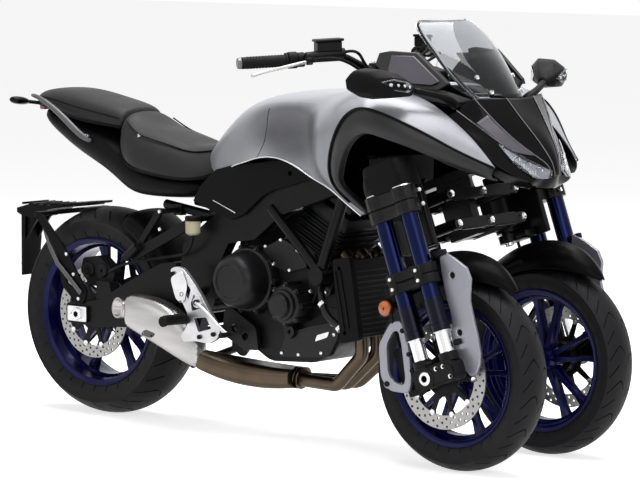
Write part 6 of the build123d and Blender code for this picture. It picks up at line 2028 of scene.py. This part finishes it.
# %% Light and floor
FLOOR_SIZE = 60.0
FLOOR_SHADE = 0.9
FLOOR_ROUGHNESS = 0.9
FLOOR_GLOW = 0.7
FLOOR_BOUNCE = 0.35
SKY_STRENGTH = 0.24
LAMPS = [
    # name, place, target, size, power
    ("top_light", (0.4, 0.2, 4.5), (0.2, 0, 0.6), (5, 3), 270),
    ("front_light", (4.5, -2.5, 2.6), (0.2, 0, 0.6), (3, 2.5), 48),
    ("side_light", (-2.0, -5.0, 2.2), (-0.2, 0, 0.5), (4, 2), 22),
]


def seen_directly(nodes, links):
    """1 for a ray that shows the backdrop itself: camera, glossy or transmission."""
    path = new_node(nodes, "LightPath")
    first = new_node(nodes, "Math", operation="MAXIMUM")
    second = new_node(nodes, "Math", operation="MAXIMUM")
    links.new(path.outputs["Is Camera Ray"], first.inputs[0])
    links.new(path.outputs["Is Glossy Ray"], first.inputs[1])
    links.new(first.outputs[0], second.inputs[0])
    links.new(path.outputs["Is Transmission Ray"], second.inputs[1])
    return second.outputs[0]


def add_world():
    world = bpy.data.worlds.new("studio")
    bpy.context.scene.world = world
    world.use_nodes = True
    nodes = world.node_tree.nodes
    links = world.node_tree.links
    nodes.clear()
    out = new_node(nodes, "OutputWorld")
    mix = new_node(nodes, "MixShader")
    links.new(seen_directly(nodes, links), mix.inputs["Fac"])
    for i, strength in ((1, SKY_STRENGTH), (2, 1)):
        sky = new_node(nodes, "Background", {"Color": (1, 1, 1, 1), "Strength": strength})
        links.new(sky.outputs["Background"], mix.inputs[i])
    links.new(mix.outputs["Shader"], out.inputs["Surface"])


def add_area(name, place, target, size, power):
    data = bpy.data.lights.new(name, "AREA")
    data.shape = "RECTANGLE"
    data.size = size[0]
    data.size_y = size[1]
    data.energy = power
    lamp = bpy.data.objects.new(name, data)
    lamp.location = place
    lamp.rotation_euler = (Vector(target) - Vector(place)).to_track_quat("-Z", "Y").to_euler()
    bpy.context.scene.collection.objects.link(lamp)


def add_floor():
    mesh = bmesh.new()
    bmesh.ops.create_grid(mesh, x_segments=1, y_segments=1, size=FLOOR_SIZE / 2)
    data = bpy.data.meshes.new("floor")
    mesh.to_mesh(data)
    mesh.free()
    floor = bpy.data.objects.new("floor", data)
    bpy.context.scene.collection.objects.link(floor)
    material, nodes, links, shader, _ = node_material("floor")
    shader.inputs["Base Color"].default_value = (FLOOR_SHADE, FLOOR_SHADE, FLOOR_SHADE, 1)
    shader.inputs["Roughness"].default_value = FLOOR_ROUGHNESS
    shader.inputs["Specular IOR Level"].default_value = 0.0
    dim = new_node(nodes, "BsdfDiffuse", {"Color": (FLOOR_BOUNCE, FLOOR_BOUNCE, FLOOR_BOUNCE, 1)})
    glow = new_node(nodes, "Emission", {"Strength": FLOOR_GLOW})
    both = new_node(nodes, "MixShader")
    add = new_node(nodes, "AddShader")
    links.new(shader.outputs["BSDF"], add.inputs[0])
    links.new(glow.outputs["Emission"], add.inputs[1])
    links.new(seen_directly(nodes, links), both.inputs["Fac"])
    links.new(dim.outputs["BSDF"], both.inputs[1])
    links.new(add.outputs["Shader"], both.inputs[2])
    links.new(both.outputs["Shader"], nodes["Material Output"].inputs["Surface"])
    data.materials.append(material)


add_world()
for row in LAMPS:
    add_area(*row)
add_floor()
bpy.context.scene.view_settings.view_transform = "Standard"
